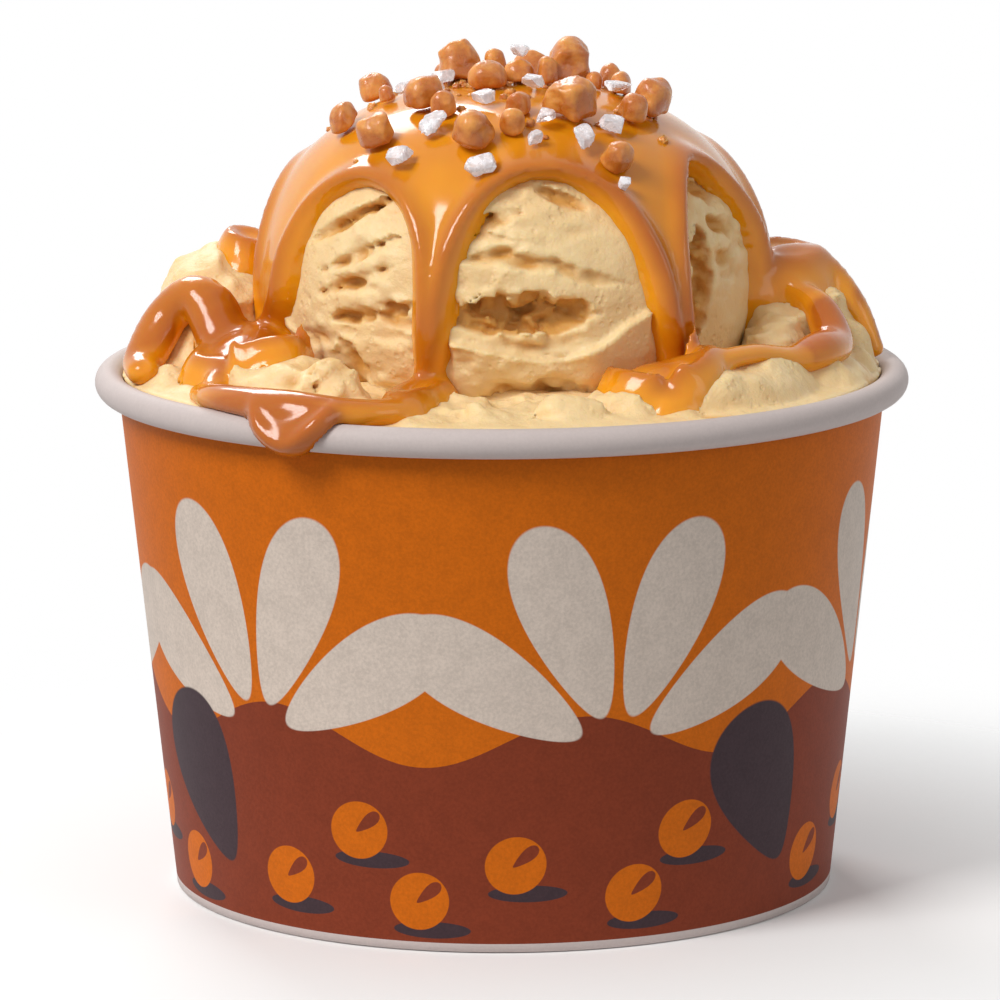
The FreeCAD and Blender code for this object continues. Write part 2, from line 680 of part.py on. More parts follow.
def flank_distance(level, skin):
    """Distance from the scoop's axis at a height, on a face skin outside the scoop's side."""
    radius = size("scoop_side_radius") + skin
    return side_centre() + math.sqrt(radius ** 2 - (level - waist_height()) ** 2)


def make_bead(doc, index, left, right):
    """Rolled edge of the caramel along a window's round top."""
    middle, half, level = window_arch(left, right)
    reach = half + 0.8 * size("bead_radius")
    skin = size("sauce_thickness") + size("bead_lift") - size("bead_radius")
    path = []
    for angle in range(0, 181, 30):
        turn = math.radians(angle)
        side = reach * math.cos(turn)
        height = level + reach * math.sin(turn)
        ahead = math.sqrt(flank_distance(height, skin) ** 2 - side ** 2)
        path.append(outward(middle + 90) * side + outward(middle) * ahead + V(size("scoop_offset"), 0, height))
    radii = [size("bead_radius")] * len(path)
    return make_tube(doc, "bead_%d" % index, path, radii, level=outward(middle))


def make_stream(doc, index, stream):
    """Stream down one side of the scoop, wider towards its foot."""
    lift = size("sauce_thickness") + size("stream_lift") - stream.width / 2
    leans = range(34, stream.foot + 1, 12)
    path = [on_scoop(stream.azimuth, lean, lift) for lean in leans]
    radii = [stream.width / 2 * (0.7 + 0.004 * lean) for lean in leans]
    return make_tube(doc, "stream_%d" % index, path, radii, level=outward(stream.azimuth + 90))


def laid_path(stations):
    """Points of a ribbon that lies on the ice cream."""
    return [outward(stop.azimuth) * stop.distance
            + UP * (bed_height(stop.azimuth, stop.distance) + stop.rise) for stop in stations]


def make_lip(doc):
    """Caramel that hangs over the rim at the front left."""
    first, final, steps = -44, -22, 4
    distance = size("rim_diameter") / 2 - size("roll_radius")
    level = size("cup_height") - size("roll_radius")
    azimuths = [first + (final - first) * step / steps for step in range(steps + 1)]
    path = [outward(azimuth) * distance + UP * level for azimuth in azimuths]
    radius = size("roll_radius") + size("lip_thickness")
    return make_tube(doc, "rim_lip", path, [radius] * len(path), sides=12)


def make_beads(doc):
    """Rolled edges of all the windows."""
    pairs = zip(STREAMS, STREAMS[1:] + STREAMS[:1])
    return [make_bead(doc, index, left, right) for index, (left, right) in enumerate(pairs)]


def make_sauce(doc, dome, beads, scoop, bed):
    """One poured caramel: cap with bare windows and rolled edges, streams, pools, ribbons, loop and lip."""
    pairs = zip(STREAMS, STREAMS[1:] + STREAMS[:1])
    windows = [make_window(doc, index, left, right) for index, (left, right) in enumerate(pairs)]
    pieces = [cut(doc, "caramel_cap", dome, fuse(doc, "windows", windows))] + beads
    pieces += [make_stream(doc, index, stream) for index, stream in enumerate(STREAMS)]
    pieces += [make_lump(doc, pool, bed_height(pool.azimuth, pool.distance)) for pool in POOLS]
    for name, stations in RIBBONS.items():
        pieces.append(make_tube(doc, name, laid_path(stations), [stop.radius for stop in stations]))
    pieces.append(make_tube(doc, "loop_left", laid_path(LOOP), [stop.radius for stop in LOOP], closed=True))
    pieces.append(make_lip(doc))
    poured = fuse(doc, "poured_caramel", pieces)
    on_ball = cut(doc, "caramel_on_scoop", poured, scoop)
    on_bed = cut(doc, "caramel_on_bed", on_ball, bed)
    clear = size("roll_radius") + size("seat_gap")
    centre = size("rim_diameter") / 2 - size("roll_radius")
    level = size("cup_height") - size("roll_radius")
    under = level - clear
    outer = [(centre + clear * math.cos(math.radians(turn)), level + clear * math.sin(math.radians(turn)))
             for turn in (-30, -60, -90)]
    skin = size("seat_gap") / math.cos(taper())
    outer.append((size("base_diameter") / 2 + under * math.tan(taper()) + skin, under))
    outer.append((size("base_diameter") / 2 + skin, -size("fold_radius")))
    return cut(doc, "caramel_sauce", on_bed, make_collar(doc, "wall_room", outer))


def seat(azimuth, lean, spin, height):
    """Placement on the scoop's caramel: local Z is the normal there."""
    point = on_scoop(azimuth, lean, size("sauce_thickness") + height)
    slope = math.radians(lean)
    normal = outward(azimuth) * math.sin(slope) + UP * math.cos(slope)
    turned = FreeCAD.Rotation(UP, normal).multiply(FreeCAD.Rotation(UP, spin))
    return FreeCAD.Placement(point, turned)


def make_crumb(doc, name, crumb):
    """Toffee crumb: a tapered block with its edges chamfered."""
    body = doc.addObject("PartDesign::Body", name + "_block")
    block = body.newObject("PartDesign::AdditiveWedge", name + "_wedge")
    block.Xmin, block.Xmax = -crumb.length / 2, crumb.length / 2
    block.Zmin, block.Zmax = -crumb.width / 2, crumb.width / 2
    block.Ymin = 0
    bind(block, Ymax="%.2f + crumb_sink" % crumb.height)
    block.X2min, block.X2max = -0.36 * crumb.length, 0.42 * crumb.length
    block.Z2min, block.Z2max = -0.42 * crumb.width, 0.34 * crumb.width
    block.Placement = FreeCAD.Placement(V(), FreeCAD.Rotation(V(1, 0, 0), 90))
    doc.recompute()
    bevel = body.newObject("PartDesign::Chamfer", name + "_bevel")
    bevel.Base = (block, [""])
    bevel.UseAllEdges = True
    bind(bevel, Size="min(toffee_chamfer; %.2f)" % (0.26 * crumb.width))
    body.Placement = seat(crumb.azimuth, crumb.lean, crumb.spin, -size("crumb_sink"))
    return body


def make_flake(doc, name, flake):
    """Salt flake: a thin block with sloping sides."""
    solid = doc.addObject("Part::Wedge", name + "_block")
    solid.Xmin, solid.Xmax = -flake.length / 2, flake.length / 2
    solid.Zmin, solid.Zmax = -flake.width / 2, flake.width / 2
    solid.Ymin = 0
    bind(solid, Ymax="salt_thickness + crumb_sink")
    solid.X2min, solid.X2max = -0.3 * flake.length, 0.38 * flake.length
    solid.Z2min, solid.Z2max = -0.36 * flake.width, 0.28 * flake.width
    upright = FreeCAD.Placement(V(), FreeCAD.Rotation(V(1, 0, 0), 90))
    place = seat(flake.azimuth, flake.lean, flake.spin, flake.perch - size("crumb_sink"))
    solid.Placement = place.multiply(upright)
    return solid


def settle(doc, name, block, below):
    """Trim a crumb or flake to the faces of what it lies on."""
    doc.recompute()
    touching = [item for item in below if meets(block.Shape, item.Shape)]
    trimmed = block
    for index, item in enumerate(touching):
        last = index == len(touching) - 1
        trimmed = cut(doc, name if last else "%s_on_%s" % (name, item.Name), trimmed, item)
    doc.recompute()
    return trimmed


def meets(first, second):
    """Whether two shapes share any room."""
    if not first.BoundBox.intersect(second.BoundBox):
        return False
    return first.common(second).Volume > 1e-6


def make_toppings(doc, caramel):
    """Toffee crumbs and salt flakes, each trimmed to the caramel's pieces and to what lies before it."""
    laid = list(caramel)
    for index, crumb in enumerate(CRUMBS, start=1):
        name = "toffee_%02d" % index
        laid.append(settle(doc, name, make_crumb(doc, name, crumb), laid))
    for index, flake in enumerate(FLAKES, start=1):
        name = "salt_%02d" % index
        laid.append(settle(doc, name, make_flake(doc, name, flake), laid))
    return laid[len(caramel):]


def check(doc, nodes):
    """Stop unless every object is up to date and every sub-part is one valid solid."""
    for item in doc.Objects:
        if "Invalid" in item.State or "Error" in item.State:
            raise RuntimeError("%s failed: %s" % (item.Name, item.State))
    for node in nodes:
        shape = node.Shape
        if shape.isNull() or not shape.isValid():
            raise RuntimeError("%s has no valid shape" % node.Label)
        if len(shape.Solids) != 1:
            raise RuntimeError("%s is %d solids" % (node.Label, len(shape.Solids)))


def main():
    """Build the document, check it and write one STEP file for each sub-part."""
    doc = FreeCAD.newDocument("dessert_cup")
    make_sheet(doc)
    wall = make_cup_wall(doc)
    bottom = make_cup_bottom(doc)
    scoop = make_scoop(doc)
    dome = make_dome(doc, "caramel_dome", size("sauce_thickness"), size("cap_foot"))
    beads = make_beads(doc)
    toppings = make_toppings(doc, [dome] + beads)
    bed = make_bed(doc, scoop)
    sauce = make_sauce(doc, dome, beads, scoop, bed)
    nodes = [wall, bottom, bed, scoop, sauce] + toppings
    doc.recompute()
    check(doc, nodes)
    os.makedirs("parts", exist_ok=True)
    for node in nodes:
        node.Shape.exportStep(os.path.join("parts", node.Label + ".step"))
        print("%-18s %9.1f mm3" % (node.Label, node.Shape.Volume))


main()
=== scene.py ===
"""Look of a paper dessert cup filled with ice cream under caramel, toffee crumbs and salt flakes.

Everything is in the frame's metres. Fields of the food are worked out in millimetres on grids and
turned into meshes. An azimuth is 0 at the front (-Y) and grows towards +X.
"""
import itertools
import logging
import math
from dataclasses import dataclass, replace
from enum import Enum
from typing import Optional, Sequence

import bpy
import numpy as np
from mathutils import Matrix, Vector
from mathutils.bvhtree import BVHTree


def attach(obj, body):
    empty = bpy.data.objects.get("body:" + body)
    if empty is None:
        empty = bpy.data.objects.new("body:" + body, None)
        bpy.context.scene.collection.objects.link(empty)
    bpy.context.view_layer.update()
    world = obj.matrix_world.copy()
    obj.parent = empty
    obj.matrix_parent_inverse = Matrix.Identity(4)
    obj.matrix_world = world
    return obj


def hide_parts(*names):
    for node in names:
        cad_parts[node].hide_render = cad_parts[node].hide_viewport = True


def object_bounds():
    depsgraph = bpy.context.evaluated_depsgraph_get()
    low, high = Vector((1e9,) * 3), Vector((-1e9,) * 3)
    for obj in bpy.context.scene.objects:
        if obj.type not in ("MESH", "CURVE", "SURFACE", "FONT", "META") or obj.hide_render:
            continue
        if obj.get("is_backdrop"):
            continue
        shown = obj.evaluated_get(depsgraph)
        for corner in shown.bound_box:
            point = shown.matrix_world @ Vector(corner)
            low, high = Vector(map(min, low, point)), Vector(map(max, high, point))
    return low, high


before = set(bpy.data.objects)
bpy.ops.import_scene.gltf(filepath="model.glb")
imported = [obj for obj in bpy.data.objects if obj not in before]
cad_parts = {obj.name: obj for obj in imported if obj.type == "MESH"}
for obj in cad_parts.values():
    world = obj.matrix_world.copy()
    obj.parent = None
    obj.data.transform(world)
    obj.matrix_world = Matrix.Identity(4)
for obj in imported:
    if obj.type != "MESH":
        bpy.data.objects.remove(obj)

LOG = logging.getLogger("dessert_cup")
MM = 0.001
BODY = "root"
SEAM = 180
CORNERS = tuple(itertools.product((0, 1), repeat=3))


class Slot(Enum):
    """Material slots of the record."""

    PRINT = "printed_board"
    BOARD = "white_board"
    ICE_CREAM = "ice_cream"
    CARAMEL = "caramel"
    TOFFEE = "toffee"
    SALT = "salt"


class Socket(Enum):
    """Socket types of a node group."""

    NUMBER = "NodeSocketFloat"
    COLOUR = "NodeSocketColor"
    VECTOR = "NodeSocketVector"


def box_mm(node: str) -> tuple[np.ndarray, np.ndarray]:
    """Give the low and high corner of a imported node.

    Args:
        node: name of the node.

    Returns:
        Low corner and high corner in millimetres.
    """
    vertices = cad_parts[node].data.vertices
    points = np.array([vertex.co[:] for vertex in vertices]) / MM
    return points.min(axis=0), points.max(axis=0)


class Noise:
    """Smooth value noise on a random lattice, the same on every run."""

    SIDE = 32

    def __init__(self, seed: int) -> None:
        """Draw the lattice.

        Args:
            seed: seed of the random numbers.
        """
        draw = np.random.default_rng(seed)
        self.lattice = draw.random((self.SIDE, self.SIDE, self.SIDE), dtype=np.float32) * 2 - 1

    def at(self, x: np.ndarray, y: np.ndarray, z: np.ndarray, size: Sequence[float]) -> np.ndarray:
        """Read the noise at points.

        Args:
            x: first coordinates.
            y: second coordinates.
            z: third coordinates.
            size: length of one swell along each coordinate.

        Returns:
            Values between -1 and 1.
        """
        cells, parts = [], []
        for value, length in zip((x, y, z), size):
            scaled = value / length
            whole = np.floor(scaled)
            part = (scaled - whole).astype(np.float32)
            cells.append(whole.astype(np.int32))
            parts.append(part * part * (3 - 2 * part))
        mask = self.SIDE - 1
        total = np.zeros(np.broadcast(x, y, z).shape, dtype=np.float32)
        for i, j, k in CORNERS:
            corner = self.lattice[(cells[0] + i) & mask, (cells[1] + j) & mask, (cells[2] + k) & mask]
            share = (parts[0] if i else 1 - parts[0]) * (parts[1] if j else 1 - parts[1])
            total += corner * share * (parts[2] if k else 1 - parts[2])
        return total

    def fractal(self, x: np.ndarray, y: np.ndarray, z: np.ndarray, size: Sequence[float],
                octaves: int) -> np.ndarray:
        """Add finer and weaker layers of the noise.

        Args:
            x: first coordinates.
            y: second coordinates.
            z: third coordinates.
            size: length of one swell of the coarsest layer along each coordinate.
            octaves: number of layers.

        Returns:
            Values mostly between -1 and 1.
        """
        total = self.at(x, y, z, size)
        for octave in range(1, octaves):
            finer = [length / 2 ** octave for length in size]
            total += self.at(x + 17.3 * octave, y - 9.1 * octave, z + 5.7 * octave, finer) / 2 ** octave
        return total


class Grid:
    """Regular grid of points in millimetres that carries fields."""

    def __init__(self, low: Sequence[float], high: Sequence[float], cell: float) -> None:
        """Lay the grid out.

        Args:
            low: low corner.
            high: high corner.
            cell: distance of neighbouring points.
        """
        self.low = np.array(low, dtype=np.float32)
        self.cell = cell
        axes = [np.arange(a, b + cell, cell, dtype=np.float32) for a, b in zip(low, high)]
        self.x, self.y, self.z = np.meshgrid(*axes, indexing="ij", sparse=True)
        self.shape = tuple(len(axis) for axis in axes)

    def near(self, low: Sequence[float], high: Sequence[float]) -> tuple[slice, ...]:
        """Give the part of the grid inside a box.

        Args:
            low: low corner of the box.
            high: high corner of the box.

        Returns:
            One slice for each axis.
        """
        first = np.floor((np.array(low) - self.low) / self.cell).astype(int)
        last = np.ceil((np.array(high) - self.low) / self.cell).astype(int) + 1
        return tuple(slice(max(int(a), 0), max(int(b), 0)) for a, b in zip(first, last))

    def part(self, where: tuple[slice, ...]) -> tuple[np.ndarray, np.ndarray, np.ndarray]:
        """Give the coordinates of a part of the grid.

        Args:
            where: one slice for each axis.

        Returns:
            The x, y and z of the points, ready to combine.
        """
        return self.x[where[0]], self.y[:, where[1]], self.z[:, :, where[2]]

    def sample(self, values: np.ndarray, points: np.ndarray) -> np.ndarray:
        """Read a field between the grid's points.

        Args:
            values: the field on the grid.
            points: places in millimetres, one a row.

        Returns:
            One value for each place.
        """
        place = (points - self.low) / self.cell
        top = np.array(values.shape) - 2
        cell = np.clip(np.floor(place).astype(int), 0, top)
        part = np.clip(place - cell, 0, 1)
        total = np.zeros(len(points))
        for corner in CORNERS:
            i, j, k = (cell + corner).T
            total += values[i, j, k] * np.abs(1 - np.array(corner) - part).prod(axis=1)
        return total

    def skin(self, values: np.ndarray) -> tuple[np.ndarray, np.ndarray]:
        """Net the surface on which a field is zero; the field is negative inside.

        Args:
            values: the field on the grid.

        Returns:
            Points in millimetres and four-sided faces that look outward.
        """
        inside = values < 0
        sides = (slice(0, -1), slice(1, None))
        count = np.zeros([n - 1 for n in values.shape], dtype=np.int8)
        for corner in CORNERS:
            count += inside[tuple(sides[step] for step in corner)]
        crossed = (count > 0) & (count < 8)
        cells = np.argwhere(crossed)
        index = np.full(crossed.shape, -1, dtype=np.int64)
        index[crossed] = np.arange(len(cells))
        total = np.zeros((len(cells), 3))
        hits = np.zeros(len(cells))
        units = np.eye(3, dtype=int)
        for axis in range(3):
            u, v = units[(axis + 1) % 3], units[(axis + 2) % 3]
            for corner in (0 * u, u, v, u + v):
                first = cells + corner
                second = first + units[axis]
                start = values[first[:, 0], first[:, 1], first[:, 2]]
                end = values[second[:, 0], second[:, 1], second[:, 2]]
                change = (start < 0) != (end < 0)
                share = start[change] / (start[change] - end[change])
                total[change] += corner + share[:, None] * units[axis]
                hits[change] += 1
        points = self.low + (cells + total / hits[:, None]) * self.cell
        faces = []
        for axis in range(3):
            u, v = units[(axis + 1) % 3], units[(axis + 2) % 3]
            low = tuple(slice(0, -1) if n == axis else slice(1, -1) for n in range(3))
            high = tuple(slice(1, None) if n == axis else slice(1, -1) for n in range(3))
            change = inside[low] != inside[high]
            start = np.argwhere(change) + u + v
            quad = [index[tuple((start - step).T)] for step in (0 * u, u, u + v, v)]
            quad = np.stack(quad, axis=1)
            outward = inside[tuple(start.T)]
            faces.append(np.where(outward[:, None], quad, quad[:, ::-1]))
        return points, np.concatenate(faces)


def smooth_min(first: np.ndarray, second: np.ndarray, width: float) -> np.ndarray:
    """Join two fields with a rounded valley.

    Args:
        first: one field.
        second: the other field.
        width: distance over which they blend.

    Returns:
        The joined field.
    """
    share = np.clip(0.5 + 0.5 * (second - first) / width, 0, 1)
    return second + (first - second) * share - width * share * (1 - share)


def make_object(name: str, points: np.ndarray, faces: Sequence, materials: Sequence[bpy.types.Material],
                smooth: bool = True) -> bpy.types.Object:
    """Make a mesh object from points in millimetres.

    Args:
        name: name of the object.
        points: places in millimetres, one a row.
        faces: rows of point numbers, all of one length or mixed.
        materials: materials of its slots.
        smooth: whether it is shaded smooth.

    Returns:
        The new object, in the scene.
    """
    mesh = bpy.data.meshes.new(name)
    points = np.asarray(points, dtype=np.float64) * MM
    if isinstance(faces, np.ndarray):
        rows, width = faces.shape
        mesh.vertices.add(len(points))
        mesh.vertices.foreach_set("co", points.ravel())
        mesh.loops.add(rows * width)
        mesh.loops.foreach_set("vertex_index", faces.ravel().astype(np.int32))
        mesh.polygons.add(rows)
        mesh.polygons.foreach_set("loop_start", np.arange(0, rows * width, width, dtype=np.int32))
    else:
        mesh.from_pydata(points.tolist(), [], faces)
    mesh.update(calc_edges=True)
    mesh.polygons.foreach_set("use_smooth", np.full(len(mesh.polygons), smooth))
    for material in materials:
        mesh.materials.append(material)
    thing = bpy.data.objects.new(name, mesh)
    bpy.context.scene.collection.objects.link(thing)
    return thing


def set_attribute(thing: bpy.types.Object, name: str, values: np.ndarray) -> None:
    """Store one number for each vertex.

    Args:
        thing: the mesh object.
        name: name of the attribute.
        values: one number for each vertex.
    """
    attribute = thing.data.attributes.new(name, "FLOAT", "POINT")
    attribute.data.foreach_set("value", np.asarray(values, dtype=np.float32))


def ride(thing: bpy.types.Object, slot: Slot, *nodes: str) -> None:
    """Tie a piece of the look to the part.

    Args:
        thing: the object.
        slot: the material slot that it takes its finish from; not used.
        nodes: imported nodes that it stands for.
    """
    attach(thing, BODY)
    if nodes:
        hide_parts(*nodes)
    LOG.info("%s: %d vertices, %d faces", thing.name, len(thing.data.vertices), len(thing.data.polygons))


class Tree:
    """Short way to lay out shader nodes."""

    def __init__(self, nodes: bpy.types.NodeTree) -> None:
        """Wrap a node tree.

        Args:
            nodes: the tree to add nodes to.
        """
        self.tree = nodes

    def add(self, kind: str, **settings: object) -> bpy.types.Node:
        """Add a node.

        Args:
            kind: the node's type.
            settings: properties to set on it.

        Returns:
            The new node.
        """
        node = self.tree.nodes.new(kind)
        for name, value in settings.items():
            setattr(node, name, value)
        return node

    def feed(self, socket: bpy.types.NodeSocket, value: object) -> None:
        """Give a socket a constant or a link.

        Args:
            socket: the input.
            value: a number, a colour, a vector or an output socket.
        """
        if isinstance(value, bpy.types.NodeSocket):
            self.tree.links.new(value, socket)
        else:
            socket.default_value = value
    def fill(self, node: bpy.types.Node, values: dict[str, object]) -> None:
        """Give several inputs of a node their constants or links.

        Args:
            node: the node.
            values: a constant or an output socket for each input's name.
        """
        for name, value in values.items():
            self.feed(node.inputs[name], value)
    def math(self, operation: str, *values: object, clamp: bool = False) -> bpy.types.NodeSocket:
        """Calculate with numbers.

        Args:
            operation: the operation's name.
            values: its inputs.
            clamp: whether the result stays between 0 and 1.

        Returns:
            The result.
        """
        node = self.add("ShaderNodeMath", operation=operation, use_clamp=clamp)
        for socket, value in zip(node.inputs, values):
            self.feed(socket, value)
        return node.outputs[0]
    def vector(self, operation: str, *values: object) -> bpy.types.NodeSocket:
        """Calculate with vectors.

        Args:
            operation: the operation's name.
            values: its inputs.

        Returns:
            The result: a number from DOT_PRODUCT and LENGTH, else a vector.
        """
        node = self.add("ShaderNodeVectorMath", operation=operation)
        for socket, value in zip(node.inputs, values):
            self.feed(socket, value)
        return node.outputs["Value" if operation in ("DOT_PRODUCT", "LENGTH") else "Vector"]
    def step(self, value: object, low: float, high: float, out: tuple = (0.0, 1.0)) -> bpy.types.NodeSocket:
        """Ramp smoothly from one value to another.

        Args:
            value: the input.
            low: where the ramp starts.
            high: where it ends.
            out: results at both ends.

        Returns:
            The result.
        """
        node = self.add("ShaderNodeMapRange", interpolation_type="SMOOTHSTEP")
        for name, setting in zip(("Value", "From Min", "From Max", "To Min", "To Max"), (value, low, high, *out)):
            self.feed(node.inputs[name], setting)
        return node.outputs["Result"]

    def mix(self, share: object, first: object, second: object, kind: str = "MIX") -> bpy.types.NodeSocket:
        """Mix two colours.

        Args:
            share: share of the second colour.
            first: one colour.
            second: the other colour.
            kind: how they are blended.

        Returns:
            The mixed colour.
        """
        node = self.add("ShaderNodeMix", data_type="RGBA", blend_type=kind)
        self.feed(node.inputs["Factor"], share)
        colours = [socket for socket in node.inputs if socket.type == "RGBA"]
        self.feed(colours[0], first)
        self.feed(colours[1], second)
        return next(socket for socket in node.outputs if socket.type == "RGBA")

    def noise(self, where: object, scale: float, detail: float = 3.0, rough: float = 0.5) -> bpy.types.NodeSocket:
        """Read a noise texture.

        Args:
            where: the place.
            scale: swells in one metre.
            detail: layers of finer noise.
            rough: strength of the finer layers.

        Returns:
            Values about 0.5.
        """
        node = self.add("ShaderNodeTexNoise")
        self.fill(node, {"Vector": where, "Scale": scale, "Detail": detail, "Roughness": rough})
        return node.outputs["Fac"]

    def bump(self, height: object, strength: float, distance: float) -> bpy.types.NodeSocket:
        """Turn a height into a normal.

        Args:
            height: the height.
            strength: share of the effect.
            distance: height in metres of one unit.

        Returns:
            The normal.
        """
        node = self.add("ShaderNodeBump")
        self.fill(node, {"Height": height, "Strength": strength, "Distance": distance})
        return node.outputs["Normal"]


def make_group(name: str, inputs: dict[str, Socket], outputs: dict[str, Socket]) -> tuple[Tree, dict, dict]:
    """Start a node group with named sockets.

    Args:
        name: name of the group.
        inputs: socket names and types that it takes.
        outputs: socket names and types that it gives.

    Returns:
        The tree, its input sockets by name and its output sockets by name.
    """
    group = bpy.data.node_groups.new(name, "ShaderNodeTree")
    for label, kind in inputs.items():
        group.interface.new_socket(name=label, in_out="INPUT", socket_type=kind.value)
    for label, kind in outputs.items():
        group.interface.new_socket(name=label, in_out="OUTPUT", socket_type=kind.value)
    tree = Tree(group)
    taken = tree.add("NodeGroupInput").outputs
    given = tree.add("NodeGroupOutput").inputs
    return tree, {label: taken[label] for label in inputs}, {label: given[label] for label in outputs}


def use_group(tree: Tree, name: str, **values: object) -> bpy.types.Node:
    """Add a node group to a tree.

    Args:
        tree: the tree to add it to.
        name: name of the group.
        values: its inputs, with an underscore for each space.

    Returns:
        The group's node.
    """
    node = tree.add("ShaderNodeGroup")
    node.node_tree = bpy.data.node_groups[name]
    for label, value in values.items():
        tree.feed(node.inputs[label.replace("_", " ")], value)
    return node


def build_groups() -> None:
    """Make the effects that several finishes share."""
    tree, taken, given = make_group(
        "ellipse_mask",
        {"Place": Socket.VECTOR, "Centre": Socket.VECTOR, "Across": Socket.VECTOR, "Up": Socket.VECTOR,
         "Point": Socket.NUMBER},
        {"Mask": Socket.NUMBER})
    away = tree.vector("SUBTRACT", taken["Place"], taken["Centre"])
    height = tree.vector("DOT_PRODUCT", away, taken["Up"])
    taper = tree.math("MULTIPLY_ADD", height, taken["Point"], 1.0)
    width = tree.math("DIVIDE", tree.vector("DOT_PRODUCT", away, taken["Across"]), taper)
    square = tree.math("MULTIPLY_ADD", width, width, tree.math("MULTIPLY", height, height))
    tree.feed(given["Mask"], tree.step(tree.math("SQRT", square), 0.985, 1.015, (1.0, 0.0)))

    tree, taken, given = make_group(
        "board_fibres", {"Place": Socket.VECTOR}, {"Mottle": Socket.NUMBER, "Height": Socket.NUMBER})
    fine = tree.noise(taken["Place"], 2600.0, 4.0, 0.65)
    coarse = tree.math("MULTIPLY", tree.noise(taken["Place"], 420.0, 3.0, 0.55), 0.3)
    tree.feed(given["Mottle"], tree.math("MULTIPLY_ADD", fine, 0.7, coarse))
    tree.feed(given["Height"], fine)


@dataclass(frozen=True)
class Motif:
    """One ellipse, or drop where it is pointed, of the print: degrees round the cup and millimetres."""

    azimuth: float
    height: float
    half_width: float
    half_height: float
    turn: float
    point: float = 0.0
    def moved(self, azimuth: float, height: float = 0.0, turn: float = 0.0) -> "Motif":
        """Give a copy that is moved round and up the cup, and turned in radians."""
        return replace(self, azimuth=self.azimuth + azimuth, height=self.height + height, turn=self.turn + turn)


@dataclass(frozen=True)
class PrintedBoard:
    """Printed and coated board: fields of colour with simple shapes."""

    orange: tuple = (0.56, 0.125, 0.003, 1.0)
    brown: tuple = (0.200, 0.036, 0.014, 1.0)
    pale: tuple = (0.60, 0.51, 0.44, 1.0)
    dark: tuple = (0.050, 0.030, 0.036, 1.0)
    horizon: float = 25.0
    wave: float = 3.0
    waves: int = 7
    mid_radius: float = 42.0
    seam_clear: float = 10.0
    petal: Motif = Motif(0.0, 23.0, 4.7, 12.0, 0.0, 0.35)
    petal_feet: tuple = (-42, 18, 80, 140, 200, 258)
    petal_leans: tuple = (-58, -20, 20, 58)
    petal_reach: float = 17.0
    drop: Motif = Motif(0.0, 17.0, 6.5, 10.5, 0.45, 0.45)
    drops: tuple = (-58, 47, 110, 164, 230)
    berry: Motif = Motif(0.0, 0.0, 3.7, 3.4, 0.3)
    berry_shadow: Motif = Motif(2.0, -3.4, 4.8, 1.0, 0.0)
    berry_leaf: Motif = Motif(1.6, 1.0, 0.7, 1.9, -0.9, 0.5)
    berries: tuple = ((-38, 7.5), (-24, 14.0), (-14, 6.0), (2, 10.5), (22, 6.5), (31, 13.5), (62, 7.0), (78, 12.0),
                      (94, 6.0), (126, 12.5), (140, 6.5), (154, 11.0), (186, 7.0), (201, 13.0), (214, 6.0),
                      (246, 12.0), (262, 6.5), (280, 11.0), (296, 6.0))

    def motifs(self) -> list[tuple[Motif, tuple]]:
        """Lay out the petals, fanned from a few feet, the drops and the berries.

        Returns:
            The shapes with their inks, in the order in which they are printed.
        """
        laid = []
        for azimuth, lean in itertools.product(self.petal_feet, self.petal_leans):
            angle = math.radians(lean)
            middle = azimuth + math.degrees(self.petal_reach * math.sin(angle) / self.mid_radius)
            if abs(middle - SEAM) > self.seam_clear:
                laid.append((self.petal.moved(middle, self.petal_reach * math.cos(angle), -angle), self.pale))
        laid += [(self.drop.moved(azimuth), self.dark) for azimuth in self.drops]
        for place in self.berries:
            laid += [(self.berry_shadow.moved(*place), self.dark), (self.berry.moved(*place), self.orange),
                     (self.berry_leaf.moved(*place), self.brown)]
        return laid

    def build(self) -> bpy.types.Material:
        """Make the material.

        Returns:
            The material.
        """
        material, tree, shader, place = start_material("printed board")
        sheet = tree.add("ShaderNodeUVMap", uv_map="print").outputs[0]
        parts = tree.add("ShaderNodeSeparateXYZ")
        tree.feed(parts.inputs[0], sheet)
        turn, up = parts.outputs[0], parts.outputs[1]
        swell = tree.math("SINE", tree.math("MULTIPLY", turn, 2 * math.pi * self.waves))
        below = tree.math("GREATER_THAN", tree.math("MULTIPLY_ADD", swell, self.wave, self.horizon), up)
        colour = tree.mix(below, self.orange, self.brown)
        sheet = tree.vector("MULTIPLY", sheet, (2 * math.pi * self.mid_radius, 1.0, 1.0))
        for motif, ink in self.motifs():
            colour = self.lay(tree, colour, motif, sheet, ink)
        fibres = use_group(tree, "board_fibres", Place=place)
        mottle = tree.step(fibres.outputs["Mottle"], 0.3, 0.7, (0.86, 1.1))
        tree.fill(shader, {
            "Base Color": tree.mix(1.0, colour, mottle, "MULTIPLY"),
            "Roughness": 0.55,
            "Specular IOR Level": 0.12,
            "Normal": tree.bump(fibres.outputs["Height"], 0.35, 0.00006)})
        return material

    def lay(self, tree: Tree, under: object, motif: Motif, sheet: object, ink: tuple) -> bpy.types.NodeSocket:
        """Print one motif over a colour.

        Args:
            tree: the material's tree.
            under: colour below.
            motif: the shape.
            sheet: place round the cup and up it, in millimetres.
            ink: its colour.

        Returns:
            The colour with the motif.
        """
        around = math.radians((motif.azimuth + 180) % 360 - 180) * self.mid_radius
        cosine, sine = math.cos(motif.turn), math.sin(motif.turn)
        node = use_group(tree, "ellipse_mask", Place=sheet, Centre=(around, motif.height, 0.0),
                         Across=(cosine / motif.half_width, sine / motif.half_width, 0.0),
                         Up=(-sine / motif.half_height, cosine / motif.half_height, 0.0), Point=motif.point)
        return tree.mix(node.outputs["Mask"], under, ink)


